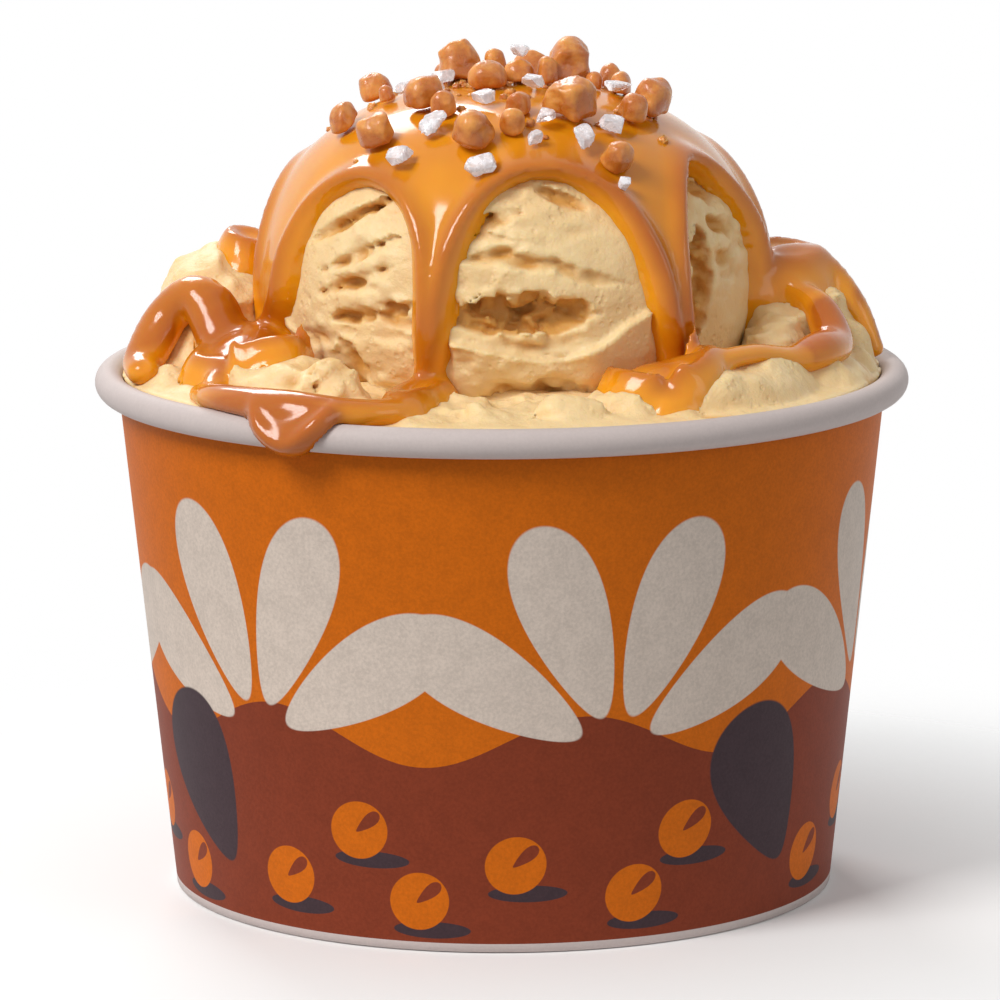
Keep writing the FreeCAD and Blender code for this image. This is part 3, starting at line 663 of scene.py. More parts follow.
def start_material(name: str) -> tuple[bpy.types.Material, Tree, bpy.types.Node, bpy.types.NodeSocket]:
    """Start a material with one Principled shader.

    Args:
        name: name of the material.

    Returns:
        The material, its tree, the shader and the place on the object.
    """
    material = bpy.data.materials.new(name)
    material.use_nodes = True
    tree = Tree(material.node_tree)
    shader = next(node for node in material.node_tree.nodes if node.type == "BSDF_PRINCIPLED")
    return material, tree, shader, tree.add("ShaderNodeTexCoord").outputs["Object"]


@dataclass(frozen=True)
class WhiteBoard:
    """Bare white board of the rim, the foot and the inside, darkened to grey-pink with painted shade."""

    # Painted shade: the white board's colour is written as a darker grey-pink.
    colour: tuple = (0.56, 0.485, 0.465, 1.0)
    mottled: float = 0.93

    def build(self) -> bpy.types.Material:
        """Make the material.

        Returns:
            The material.
        """
        material, tree, shader, place = start_material("white board")
        fibres = use_group(tree, "board_fibres", Place=place)
        mottle = tree.step(fibres.outputs["Mottle"], 0.3, 0.7)
        darker = tuple(self.mottled * value for value in self.colour[:3]) + (1.0,)
        tree.fill(shader, {
            "Base Color": tree.mix(mottle, darker, self.colour),
            "Roughness": 0.6,
            "Specular IOR Level": 0.25,
            "Subsurface Weight": 0.1,
            "Subsurface Radius": (0.001, 0.001, 0.001),
            "Normal": tree.bump(fibres.outputs["Height"], 0.3, 0.00005)})
        return material


@dataclass(frozen=True)
class IceCreamFinish:
    """Creamy, soft ice cream, pale where it is smeared, with painted shade: its hollows are coloured darker golden.
    """

    pale: tuple = (0.86, 0.65, 0.35, 1.0)
    # Darker golden: random patches of it, and painted shade in the hollows.
    golden: tuple = (0.66, 0.34, 0.085, 1.0)

    def build(self) -> bpy.types.Material:
        """Make the material.

        Returns:
            The material.
        """
        material, tree, shader, place = start_material("ice cream")
        # Depth of the hollows, read for the painted shade in them.
        hollow = tree.add("ShaderNodeAttribute", attribute_name="hollow").outputs["Fac"]
        patches = tree.noise(place, 160.0, 4.0, 0.6)
        base = tree.mix(tree.step(patches, 0.35, 0.7, (0.0, 0.22)), self.pale, self.golden)
        pores = tree.add("ShaderNodeTexVoronoi")
        tree.fill(pores, {"Vector": place, "Scale": 900.0})
        pitted = tree.step(pores.outputs["Distance"], 0.12, 0.38)
        pits = tree.mix(tree.step(patches, 0.42, 0.6), (1.0, 1.0, 1.0, 1.0), pitted)
        swells = tree.math("MULTIPLY_ADD", tree.noise(place, 1500.0, 3.0, 0.6), 0.4,
                           tree.noise(place, 520.0, 5.0, 0.7))
        tree.fill(shader, {
            # Painted shade: the deeper a hollow, the more of the darker golden colour.
            "Base Color": tree.mix(tree.step(hollow, 0.1, 1.3), base, self.golden),
            "Roughness": tree.step(patches, 0.3, 0.7, (0.38, 0.55)),
            "Specular IOR Level": 0.3,
            "Subsurface Weight": 0.3,
            "Subsurface Radius": (0.004, 0.0025, 0.001),
            "Subsurface Scale": 0.5,
            "Normal": tree.bump(tree.math("MULTIPLY_ADD", pits, 0.45, swells), 0.55, 0.0004)})
        return material


@dataclass(frozen=True)
class CaramelFinish:
    """Thick caramel: golden where it is thin, brown where it is thick, and very glossy."""

    thin: tuple = (0.82, 0.315, 0.006, 1.0)
    thick: tuple = (0.47, 0.118, 0.004, 1.0)

    def build(self) -> bpy.types.Material:
        """Make the material.

        Returns:
            The material.
        """
        material, tree, shader, place = start_material("caramel")
        depth = tree.add("ShaderNodeAttribute", attribute_name="depth").outputs["Fac"]
        clouds = tree.step(tree.noise(place, 60.0, 3.0, 0.5), 0.3, 0.7, (-0.15, 0.15))
        share = tree.math("ADD", tree.step(depth, 0.6, 3.1), clouds, clamp=True)
        tree.fill(shader, {
            "Base Color": tree.mix(share, self.thin, self.thick),
            "Roughness": 0.16,
            "Specular IOR Level": 0.3,
            "Coat Weight": 0.22,
            "Coat Roughness": 0.04,
            "Subsurface Weight": 0.3,
            "Subsurface Radius": (0.005, 0.0018, 0.0004),
            "Subsurface Scale": 0.5,
            "Normal": tree.bump(tree.noise(place, 110.0, 2.0, 0.4), 0.15, 0.0008)})
        return material


@dataclass(frozen=True)
class ToffeeFinish:
    """Broken toffee: amber with paler, frosted patches."""

    amber: tuple = (0.50, 0.145, 0.016, 1.0)
    pale: tuple = (0.72, 0.31, 0.06, 1.0)

    def build(self) -> bpy.types.Material:
        """Make the material.

        Returns:
            The material.
        """
        material, tree, shader, place = start_material("toffee")
        patches = tree.noise(place, 330.0, 4.0, 0.6)
        tree.fill(shader, {
            "Base Color": tree.mix(tree.step(patches, 0.4, 0.68), self.amber, self.pale),
            "Roughness": tree.step(patches, 0.35, 0.65, (0.22, 0.5)),
            "Subsurface Weight": 0.4,
            "Subsurface Radius": (0.003, 0.0012, 0.0004),
            "Subsurface Scale": 0.5,
            "Coat Weight": 0.3,
            "Coat Roughness": 0.12,
            "Specular IOR Level": 0.4,
            "Normal": tree.bump(tree.noise(place, 1300.0, 4.0, 0.6), 0.35, 0.0003)})
        return material


@dataclass(frozen=True)
class SaltFinish:
    """Clear, slightly cloudy salt crystal."""

    colour: tuple = (0.95, 0.93, 0.96, 1.0)

    def build(self) -> bpy.types.Material:
        """Make the material.

        Returns:
            The material.
        """
        material, tree, shader, place = start_material("salt")
        clouds = tree.noise(place, 700.0, 3.0, 0.6)
        tree.fill(shader, {
            "Base Color": self.colour,
            "Roughness": tree.step(clouds, 0.35, 0.65, (0.08, 0.3)),
            "IOR": 1.54,
            "Transmission Weight": tree.step(clouds, 0.4, 0.65, (0.55, 0.15)),
            "Normal": tree.bump(clouds, 0.3, 0.0003)})
        return material


@dataclass(frozen=True)
class CupSizes:
    """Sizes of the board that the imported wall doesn't give by itself, in millimetres.

    The heel is the printed face's last point: the level at which its radius is read, and its height.
    The foot's points go round the fold: level at which the radius is read, inset from it, and height.
    """

    board: float = 0.4
    roll: float = 1.7
    roll_hidden: int = 7
    neck_drop: float = 2.0
    base_diameter: float = 78.1
    top_diameter: float = 91.0
    band: float = 1.1
    fold: float = 0.5
    heel: tuple = (0.3, 0.12)
    foot: tuple = ((0.6, 0.4, 0.6), (0.45, 0.55, 0.4), (0.45, 0.8, 0.4), (0.6, 0.9, 0.6), (4.9, 0.9, 4.9),
                   (4.9, 1.3, 4.9), (0.5, 1.3, 0.5), (0.15, 1.15, 0.12), (0.0, 0.85, 0.0), (0.0, 0.45, 0.0))
    glue: float = 0.05
    floor_bend: float = 0.8
    seam_degrees: float = 10.3
    sides: int = 288


class Cup:
    """Paper cup: printed wall with rolled rim, folded foot and glued seam, and its floor."""

    def __init__(self, sizes: CupSizes) -> None:
        """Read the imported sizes.

        Args:
            sizes: the board's sizes.
        """
        self.sizes = sizes
        low, high = box_mm("cup_wall")
        self.rim = (high[0] - low[0]) / 2
        self.height = high[2]
        self.slope = (sizes.top_diameter - sizes.base_diameter) / 2 / self.height
        floor_low, floor_high = box_mm("cup_bottom")
        self.floor = floor_high[2]
        self.skirt = floor_low[2]

    def outer(self, level: float) -> float:
        """Radius of the wall's printed face.

        Args:
            level: height over the table.

        Returns:
            The radius.
        """
        return self.sizes.base_diameter / 2 + self.slope * level

    def profile(self) -> list[tuple[float, float, bool]]:
        """Closed outline of the wall's board in section.

        Returns:
            Radius, height and whether the face up to the next point is printed.
        """
        sizes = self.sizes
        board, roll = sizes.board, sizes.roll
        neck = self.height - 2 * roll - sizes.neck_drop
        centre = (self.rim - roll, self.height - roll)
        across, above = centre[0] - self.outer(neck), centre[1] - neck
        away = math.hypot(across, above)
        bend = math.atan2(across, above) - math.asin((roll - board) / away)
        run = math.sqrt(away ** 2 - (roll - board) ** 2)
        turns = np.radians(np.linspace(180 - math.degrees(bend), -180, 26))

        def rolled(radius: float, angles: np.ndarray) -> list[tuple[float, float, bool]]:
            """Points on one face of the roll."""
            return [(centre[0] + radius * math.cos(angle), centre[1] + radius * math.sin(angle), False)
                    for angle in angles]

        points = [(self.outer(sizes.heel[0]), sizes.heel[1], False)]
        points += [(self.outer(level), level, True) for level in np.linspace(sizes.band, neck, 25)]
        points.append((self.outer(neck) + run * math.sin(bend), neck + run * math.cos(bend), False))
        points += rolled(roll - board, turns[1:]) + rolled(roll, turns[::-1][sizes.roll_hidden:])
        points += [(self.outer(level) - board, level, False)
                   for level in np.linspace(neck, sizes.fold + board, 13)[:-1]]
        return points + [(self.outer(level) - inset, height, False) for level, inset, height in sizes.foot]

    def build(self, printed: bpy.types.Material, white: bpy.types.Material) -> None:
        """Make the wall and the floor.

        Args:
            printed: finish of the printed face.
            white: finish of the bare board.
        """
        section = self.profile()
        sides, rows = self.sizes.sides, len(section)
        points, faces = [], []
        for side in range(sides):
            angle = 2 * math.pi * side / sides - math.pi
            on_seam = abs(math.degrees(angle) % 360 - SEAM) < self.sizes.seam_degrees / 2
            after = (side + 1) % sides
            for row, (radius, level, on_print) in enumerate(section):
                radius += self.sizes.board if on_seam and on_print else 0.0
                points.append((radius * math.sin(angle), -radius * math.cos(angle), level))
                above = (row + 1) % rows
                faces.append((side * rows + row, after * rows + row, after * rows + above, side * rows + above))
        wall = make_object("cup_wall_board", np.array(points), faces, [white, printed])
        mesh = wall.data
        mesh.polygons.foreach_set("material_index", [int(on_print) for _, _, on_print in section] * sides)
        layer = mesh.uv_layers.new(name="print")
        for number, face in enumerate(mesh.polygons):
            closing = number // rows == sides - 1
            for loop in face.loop_indices:
                column, row = divmod(mesh.loops[loop].vertex_index, rows)
                turn = (sides if closing and column == 0 else column) / sides - 0.5
                layer.data[loop].uv = (turn, section[row][1])
        ride(wall, Slot.PRINT, "cup_wall")
        self.build_floor(white)

    def build_floor(self, white: bpy.types.Material) -> None:
        """Make the floor disc with its skirt.

        Args:
            white: finish of the bare board.
        """
        board, bend, top = self.sizes.board, self.sizes.floor_bend, self.floor
        gap = board + self.sizes.glue
        edge = self.outer(top - bend) - gap - bend
        low = self.outer(self.skirt) - gap
        turns = np.radians(np.linspace(90, 0, 7))
        over, under = ([(edge + radius * math.cos(turn), top - bend + radius * math.sin(turn)) for turn in turns]
                       for radius in (bend, bend - board))
        section = [(0.0, top), *over, (low, self.skirt), (low - board, self.skirt), *under[::-1],
                   (0.0, top - board)]
        points, faces = lathe(section, self.sizes.sides // 2)
        floor = make_object("cup_floor_board", points, faces, [white])
        ride(floor, Slot.BOARD, "cup_bottom")


def lathe(section: Sequence[tuple[float, float]], sides: int) -> tuple[np.ndarray, list]:
    """Turn an open section round the axis; its ends lie on the axis.

    Args:
        section: radius and height of each point, from one end on the axis to the other.
        sides: steps round the axis.

    Returns:
        Points in millimetres and faces.
    """
    points = [(0.0, 0.0, section[0][1]), (0.0, 0.0, section[-1][1])]
    inner = section[1:-1]
    rows = len(inner)
    for side in range(sides):
        angle = 2 * math.pi * side / sides
        points += [(radius * math.cos(angle), radius * math.sin(angle), level) for radius, level in inner]
    faces = []
    for side in range(sides):
        here, there = 2 + side * rows, 2 + (side + 1) % sides * rows
        faces.append((0, here, there))
        faces.append((1, there + rows - 1, here + rows - 1))
        faces += [(here + row, here + row + 1, there + row + 1, there + row) for row in range(rows - 1)]
    return np.array(points), faces


@dataclass(frozen=True)
class Tear:
    """A torn hollow or groove in the scoop: place, half sizes in millimetres, tilt and depth."""

    azimuth: float
    height: float
    half_width: float
    half_height: float
    tilt: float
    depth: float


@dataclass(frozen=True)
class Fold:
    """A smeared lip of ice cream: places on the scoop as azimuth and height, and its sizes in millimetres.

    It stands out by lift, fades below over reach, rounds above over brow and fades at its ends over fade.
    """

    places: tuple
    lift: float
    reach: float
    brow: float = 0.5
    fade: float = 10 ** 0.5


@dataclass(frozen=True)
class ScoopSizes:
    """Shape of the scoop beside its packed box, and its torn and smeared places."""

    side_radius: float = 20.7
    crown_radius: float = 58.0
    foot_to_waist: float = 13.0
    cell: float = 0.36
    swell: float = 0.45
    swell_size: tuple = (13, 13, 9)
    ridge_depth: float = 1.5
    ridge_size: tuple = (6.5, 1.9, 7.0)
    ridge_slope: float = 0.12
    ridge_start: float = 0.12
    patch_size: tuple = (15, 11, 15)
    grain_size: tuple = (1.5, 1.5, 1.2)
    grain_smooth: float = 0.08
    grain_torn: float = 0.22
    crumb_size: tuple = (2.4, 2.4, 2.0)
    tears: tuple = (
        Tear(1.0, 72.0, 8.4, 2.3, 0.0, 3.2),
        Tear(4.0, 62.5, 6.5, 1.6, 4.0, 1.3),
        Tear(13.0, 84.6, 3.6, 0.8, -18.0, 1.2),
        Tear(-4.0, 82.6, 3.4, 0.8, 10.0, 1.1),
        Tear(-5.0, 78.6, 3.5, 0.6, 14.0, 0.8),
        Tear(6.0, 77.6, 6.0, 0.6, -7.0, 0.8),
        Tear(18.0, 76.0, 5.0, 0.7, -12.0, 0.8),
        Tear(-46.0, 81.6, 6.5, 0.9, 26.0, 1.4),
        Tear(-38.0, 78.2, 7.5, 0.7, 22.0, 1.2),
        Tear(-42.0, 74.6, 7.5, 0.7, 20.0, 1.2),
        Tear(-36.0, 71.4, 6.5, 0.9, 12.0, 1.3),
        Tear(-44.0, 64.5, 2.6, 3.4, -20.0, 1.5),
        Tear(52.0, 74.5, 2.1, 5.6, -12.0, 3.0),
        Tear(109.0, 74.0, 6.0, 1.4, 10.0, 1.8),
        Tear(156.0, 72.0, 7.0, 1.6, -8.0, 2.0),
        Tear(205.0, 78.2, 6.0, 1.2, 10.0, 1.6),
        Tear(257.0, 74.0, 5.0, 1.5, 5.0, 1.8),
    )
    folds: tuple = (
        Fold(((-15.0, 69.2), (-7.0, 68.3), (1.5, 67.3), (12.0, 66.9), (20.0, 68.4), (27.0, 70.8), (34.0, 72.2)),
             1.3, 4.5),
        Fold(((62.0, 79.5), (66.0, 79.5 - 3.5 * 4 / 6)), 1.0, 3.0),
        Fold(((-72.0, 72.0), (-66.0, 69.0), (-60.0, 66.5)), 0.9, 3.0),
    )


class Scoop:
    """Ball of ice cream with torn hollows, grooves and smeared lips."""

    def __init__(self, sizes: ScoopSizes) -> None:
        """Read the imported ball.

        Args:
            sizes: the ball's shape and texture.
        """
        self.sizes = sizes
        low, high = box_mm("ice_cream_scoop")
        self.radius = (high[0] - low[0]) / 2
        self.offset = (high[0] + low[0]) / 2
        self.foot = low[2]
        self.waist = low[2] + sizes.foot_to_waist
        self.top = high[2]
        self.noise = Noise(11)

    def distance(self, x: np.ndarray, y: np.ndarray, z: np.ndarray) -> np.ndarray:
        """Signed distance from the plain ball's face.

        Args:
            x: first coordinates.
            y: second coordinates.
            z: third coordinates.

        Returns:
            Distance in millimetres, negative inside.
        """
        sizes = self.sizes
        reach = np.hypot(x - self.offset, y)
        side = self.radius - sizes.side_radius
        flank = np.hypot(reach - side, z - self.waist) - sizes.side_radius
        centre = self.top - sizes.crown_radius
        crown = np.hypot(reach, z - centre) - sizes.crown_radius
        slope = side / (self.waist - centre)
        on_crown = (z > self.waist) & (reach < slope * (z - centre))
        return np.where(on_crown, crown, flank)

    def relief(self, x: np.ndarray, y: np.ndarray, z: np.ndarray) -> np.ndarray:
        """Depth of the texture under the plain ball, negative where it stands out.

        Args:
            x: first coordinates.
            y: second coordinates.
            z: third coordinates.

        Returns:
            Depth in millimetres.
        """
        sizes = self.sizes
        turn = np.arctan2(x - self.offset, -y)
        around = turn * self.radius
        reach = np.hypot(x - self.offset, y)
        depth = sizes.swell * self.noise.fractal(x, y, z, sizes.swell_size, 2)
        ridges = self.noise.fractal(around, z + sizes.ridge_slope * around, reach, sizes.ridge_size, 3)
        torn = np.clip(0.55 + 1.6 * self.noise.at(around, z, reach, sizes.patch_size), 0, 1)
        depth = depth + torn * np.clip(ridges - sizes.ridge_start, 0, 1.2) * sizes.ridge_depth
        grain = self.noise.fractal(x, y, z, sizes.grain_size, 2)
        depth = depth + (sizes.grain_smooth + sizes.grain_torn * torn) * grain
        crumbs = self.noise.fractal(x, y, z, sizes.crumb_size, 2)
        for tear in sizes.tears:
            off = (turn - math.radians(tear.azimuth) + math.pi) % (2 * math.pi) - math.pi
            across, up = off * self.radius, z - tear.height
            tilt = math.radians(tear.tilt)
            wide = (across * math.cos(tilt) + up * math.sin(tilt)) / tear.half_width
            tall = (up * math.cos(tilt) - across * math.sin(tilt)) / tear.half_height
            shape = np.clip(1.15 - np.abs(wide) ** 2 - np.abs(tall) ** 1.6 + 0.45 * grain + 0.3 * ridges, 0, 1)
            depth = depth + tear.depth * np.sqrt(shape) * (1 + 0.3 * grain + 0.3 * crumbs)
        for fold in sizes.folds:
            depth = depth - self.fold_height(fold, turn, z)
        return depth

    def fold_height(self, fold: Fold, turn: np.ndarray, z: np.ndarray) -> np.ndarray:
        """How far one smeared lip stands out: sharp on its upper side, fading below.

        Args:
            fold: the lip.
            turn: azimuth in radians.
            z: height.

        Returns:
            Height in millimetres.
        """
        turns = np.radians([place[0] for place in fold.places])
        under = np.interp(turn, turns, [place[1] for place in fold.places]) - z
        share = np.clip((turn - turns[0]) * (turns[-1] - turn) * self.radius ** 2 / fold.fade ** 2, 0, 1)
        return fold.lift * share * np.clip(under / fold.brow, 0, 1) * np.exp(-np.clip(under, 0, None) / fold.reach)

    def build(self, finish: bpy.types.Material) -> None:
        """Make the ball.

        Args:
            finish: the ice cream.
        """
        edge = self.radius + 2.5
        grid = Grid((self.offset - edge, -edge, self.foot - 1.5), (self.offset + edge, edge, self.top + 2.0),
                    self.sizes.cell)
        plain = self.distance(grid.x, grid.y, grid.z)
        relief = self.relief(grid.x, grid.y, grid.z)
        field = np.maximum(plain + relief, self.foot - grid.z)
        points, faces = grid.skin(field.astype(np.float32))
        ball = make_object("ice_cream_ball", points, faces, [finish])
        # Depth under the plain ball, which the ice cream's finish paints as darker golden shade.
        set_attribute(ball, "hollow", -grid.sample(plain, points))
        ride(ball, Slot.ICE_CREAM, "ice_cream_scoop")


@dataclass(frozen=True)
class Mound:
    """A lump on the level ice cream: half an ellipsoid, placed by azimuth and distance, in millimetres."""

    azimuth: float
    distance: float
    rise: float
    radial: float
    around: float
    upright: float


@dataclass(frozen=True)
class BedSizes:
    """Shape and texture of the ice cream that fills the cup, in millimetres."""

    cell: float = 0.42
    shown_depth: float = 5.0
    below_rim: float = 0.9
    wall_gap: float = 0.15
    mounds: tuple = (
        Mound(-100, 33.0, 1.5, 9.6, 15.5, 12.6),
        Mound(-74, 36.0, 0.3, 8.5, 13.0, 2.7),
        Mound(-43, 34.0, 0.6, 6.5, 10.0, 5.0),
        Mound(-35, 34.5, 1.5, 3.2, 4.2, 5.4),
        Mound(-43, 36.5, 1.0, 3.0, 3.2, 4.6),
        Mound(-2, 39.5, 0.0, 2.8, 3.4, 1.7),
        Mound(12, 38.5, 0.2, 3.2, 4.6, 2.6),
        Mound(26, 34.5, 0.3, 4.4, 7.0, 2.6),
        Mound(47, 37.4, 0.6, 5.6, 12.0, 4.4),
        Mound(74, 38.5, 0.4, 6.5, 8.5, 3.4),
        Mound(76, 33.0, 2.0, 4.6, 5.5, 5.2),
        Mound(90, 40.8, 1.0, 3.6, 4.2, 5.0),
        Mound(84, 42.2, 0.0, 2.4, 2.6, 3.4),
        Mound(101, 33.5, 2.0, 9.6, 14.0, 10.2),
        Mound(136, 33.0, 0.5, 9.5, 16.0, 9.0),
        Mound(178, 36.5, 0.0, 6.0, 9.0, 5.0),
        Mound(-142, 33.0, 0.5, 9.5, 17.0, 10.0),
    )
    blend: float = 1.2
    steepest: float = 2.5
    fold_size: tuple = (9, 9, 6)
    fold_depth: float = 1.6
    fold_middle: float = 0.35
    crumb_size: tuple = (2.6, 2.6, 2.2)
    crumb_smooth: float = 0.35
    crumb_rough: float = 0.55
    patch_size: tuple = (12, 12, 12)
    left_mound: tuple = (-36.0, 3.0, 17.0)
    pit_size: tuple = (4.6, 5.5, 3.0)
    pit_depth: float = 1.7
    rough_size: tuple = (8, 8, 8)
    grain_size: tuple = (1.4, 1.4, 1.3)
    grain: float = 0.5
    calm_edge: float = 6.0
    pool_edge: float = 2.5
    pool_calm: float = 0.85
    pool_sink: float = 0.3


class Bed:
    """Ice cream that fills the cup, with its crumbly mounds."""

    def __init__(self, sizes: BedSizes, cup: Cup) -> None:
        """Take the sizes and the room in the cup.

        Args:
            sizes: mounds, texture and grid.
            cup: the cup round it.
        """
        self.sizes = sizes
        self.cup = cup
        self.noise = Noise(23)
        self.low, self.high = box_mm("ice_cream_bed")
        self.level = cup.height - sizes.below_rim

    def height(self, x: np.ndarray, y: np.ndarray) -> np.ndarray:
        """Height of the plain filling.

        Args:
            x: first coordinates.
            y: second coordinates.

        Returns:
            Heights in millimetres.
        """
        total = np.zeros(np.broadcast(x, y).shape)
        for mound in self.sizes.mounds:
            turn = math.radians(mound.azimuth)
            out = (math.sin(turn), -math.cos(turn))
            off_x, off_y = x - out[0] * mound.distance, y - out[1] * mound.distance
            radial = (off_x * out[0] + off_y * out[1]) / mound.radial
            around = (off_y * out[0] - off_x * out[1]) / mound.around
            left = np.clip(1 - radial ** 2 - around ** 2, 0, 1)
            rise = mound.upright * np.sqrt(left) + mound.rise * np.clip(4 * left, 0, 1)
            total = -smooth_min(-total, -rise, self.sizes.blend)
        return self.level + total

    def top_grid(self) -> Grid:
        """Lay out the grid of the filling's shown top.

        Returns:
            The grid.
        """
        edge = self.cup.rim - 1.0
        return Grid((-edge, -edge, self.level - self.sizes.shown_depth - 1.0), (edge, edge, self.high[2] + 3.0),
                    self.sizes.cell)

    def distance(self, x: np.ndarray, y: np.ndarray, z: np.ndarray) -> np.ndarray:
        """Rough distance over the plain filling.

        Args:
            x: first coordinates.
            y: second coordinates.
            z: third coordinates.

        Returns:
            Distance in millimetres, negative inside.
        """
        height = self.height(x, y)
        steep = np.hypot(self.height(x + 0.5, y) - self.height(x - 0.5, y),
                         self.height(x, y + 0.5) - self.height(x, y - 0.5))
        return (z - height) / np.sqrt(1 + np.clip(steep, 0, self.sizes.steepest) ** 2)

    def relief(self, grid: Grid, spread: np.ndarray) -> np.ndarray:
        """Depth of the texture under the plain filling, damped below the caramel's pools.

        Args:
            grid: the grid of the filling's top.
            spread: distance inside the edge of the caramel's pools, for each column of the grid.

        Returns:
            Depth in millimetres.
        """
        sizes = self.sizes
        x, y, z = grid.x, grid.y, grid.z
        folds = self.noise.fractal(x, y, z, sizes.fold_size, 2)
        crumbs = self.noise.fractal(x, y, z, sizes.crumb_size, 3)
        patches = np.clip(0.5 + self.noise.at(x, y, z, sizes.patch_size), 0, 1)
        relief = sizes.fold_depth * (np.abs(folds) - sizes.fold_middle)
        relief = relief + (sizes.crumb_smooth + sizes.crumb_rough * patches) * crumbs
        left_x, left_y, left_reach = sizes.left_mound
        near = np.clip(1.3 - np.hypot(x - left_x, y - left_y) / left_reach, 0, 1)
        pits = self.noise.at(x + 40, y, z - 0.5 * y, sizes.pit_size)
        relief = relief + near * sizes.pit_depth * np.clip(1.8 * pits, 0, 1)
        rough = np.clip(2.5 * self.noise.at(x - 20, y, z, sizes.rough_size), 0, 1) * (1 - near)
        relief = relief + sizes.grain * rough * self.noise.fractal(x, y, z, sizes.grain_size, 2)
        pooled = np.clip(spread / sizes.pool_edge, 0, 1)
        return relief * (1 - sizes.pool_calm * pooled) + sizes.pool_sink * pooled

    def outside(self, grid: Grid) -> np.ndarray:
        """Distance out of the room that the board leaves: inside the wall, and inside the rim's roll.

        Args:
            grid: the grid of the filling's top.

        Returns:
            Distance in millimetres, negative in the room.
        """
        cup, gap = self.cup, self.sizes.wall_gap
        roll = cup.sizes.roll
        reach = np.hypot(grid.x, grid.y)
        above = grid.z - cup.height
        wall = reach - (cup.rim - 2 * roll - gap + np.minimum(cup.slope * (grid.z - self.level), 0))
        ring = roll + gap - np.hypot(reach - (cup.rim - roll), above + roll)
        inner = np.where(reach < cup.rim - roll, ring, reach - (cup.rim - roll))
        return np.where(above > -roll, inner, wall)

    def build(self, finish: bpy.types.Material, spread: np.ndarray, grid: Grid) -> None:
        """Make the filling's shown top and its plain body below.

        Args:
            finish: the ice cream.
            spread: distance inside the edge of the caramel's pools, for each column of the grid.
            grid: the grid of the filling's top.
        """
        bottom = self.level - self.sizes.shown_depth
        relief = self.relief(grid, spread)
        calm = np.clip((self.cup.rim - 3 - np.hypot(grid.x, grid.y)) / self.sizes.calm_edge, 0.12, 1)
        field = self.distance(grid.x, grid.y, grid.z) + relief * calm + 0.5 * (1 - calm)
        field = np.maximum(np.maximum(field, self.outside(grid)), bottom - grid.z)
        points, faces = grid.skin(field.astype(np.float32))
        top = make_object("ice_cream_filling", points, faces, [finish])
        # Depth of the relief, which the ice cream's finish paints as darker golden shade.
        set_attribute(top, "hollow", grid.sample(np.clip(relief, -1, 3), points) - 0.2)
        ride(top, Slot.ICE_CREAM, "ice_cream_bed")
        gap = self.cup.sizes.board + self.sizes.wall_gap
        section = [(0.0, self.low[2]), (self.cup.outer(self.low[2]) - gap - 0.2, self.low[2]),
                   (self.cup.outer(bottom) - gap - 0.2, bottom + 0.2), (0.0, bottom + 0.2)]
        points, faces = lathe(section, 96)
        body = make_object("ice_cream_below", points, faces, [finish])
        set_attribute(body, "hollow", np.zeros(len(points)))
        ride(body, Slot.ICE_CREAM, "ice_cream_bed")


@dataclass(frozen=True)
class Window:
    """A bare place in the caramel on the scoop: its outline as azimuth and height."""

    outline: tuple


@dataclass(frozen=True)
class Strand:
    """A rope of caramel on the filling: stations of azimuth, distance, lift and radius."""

    stations: tuple


@dataclass(frozen=True)
class Pool:
    """A flat spread of caramel on the filling: azimuth, distance and radii across and along the rim."""

    azimuth: float
    distance: float
    across: float
    along: float


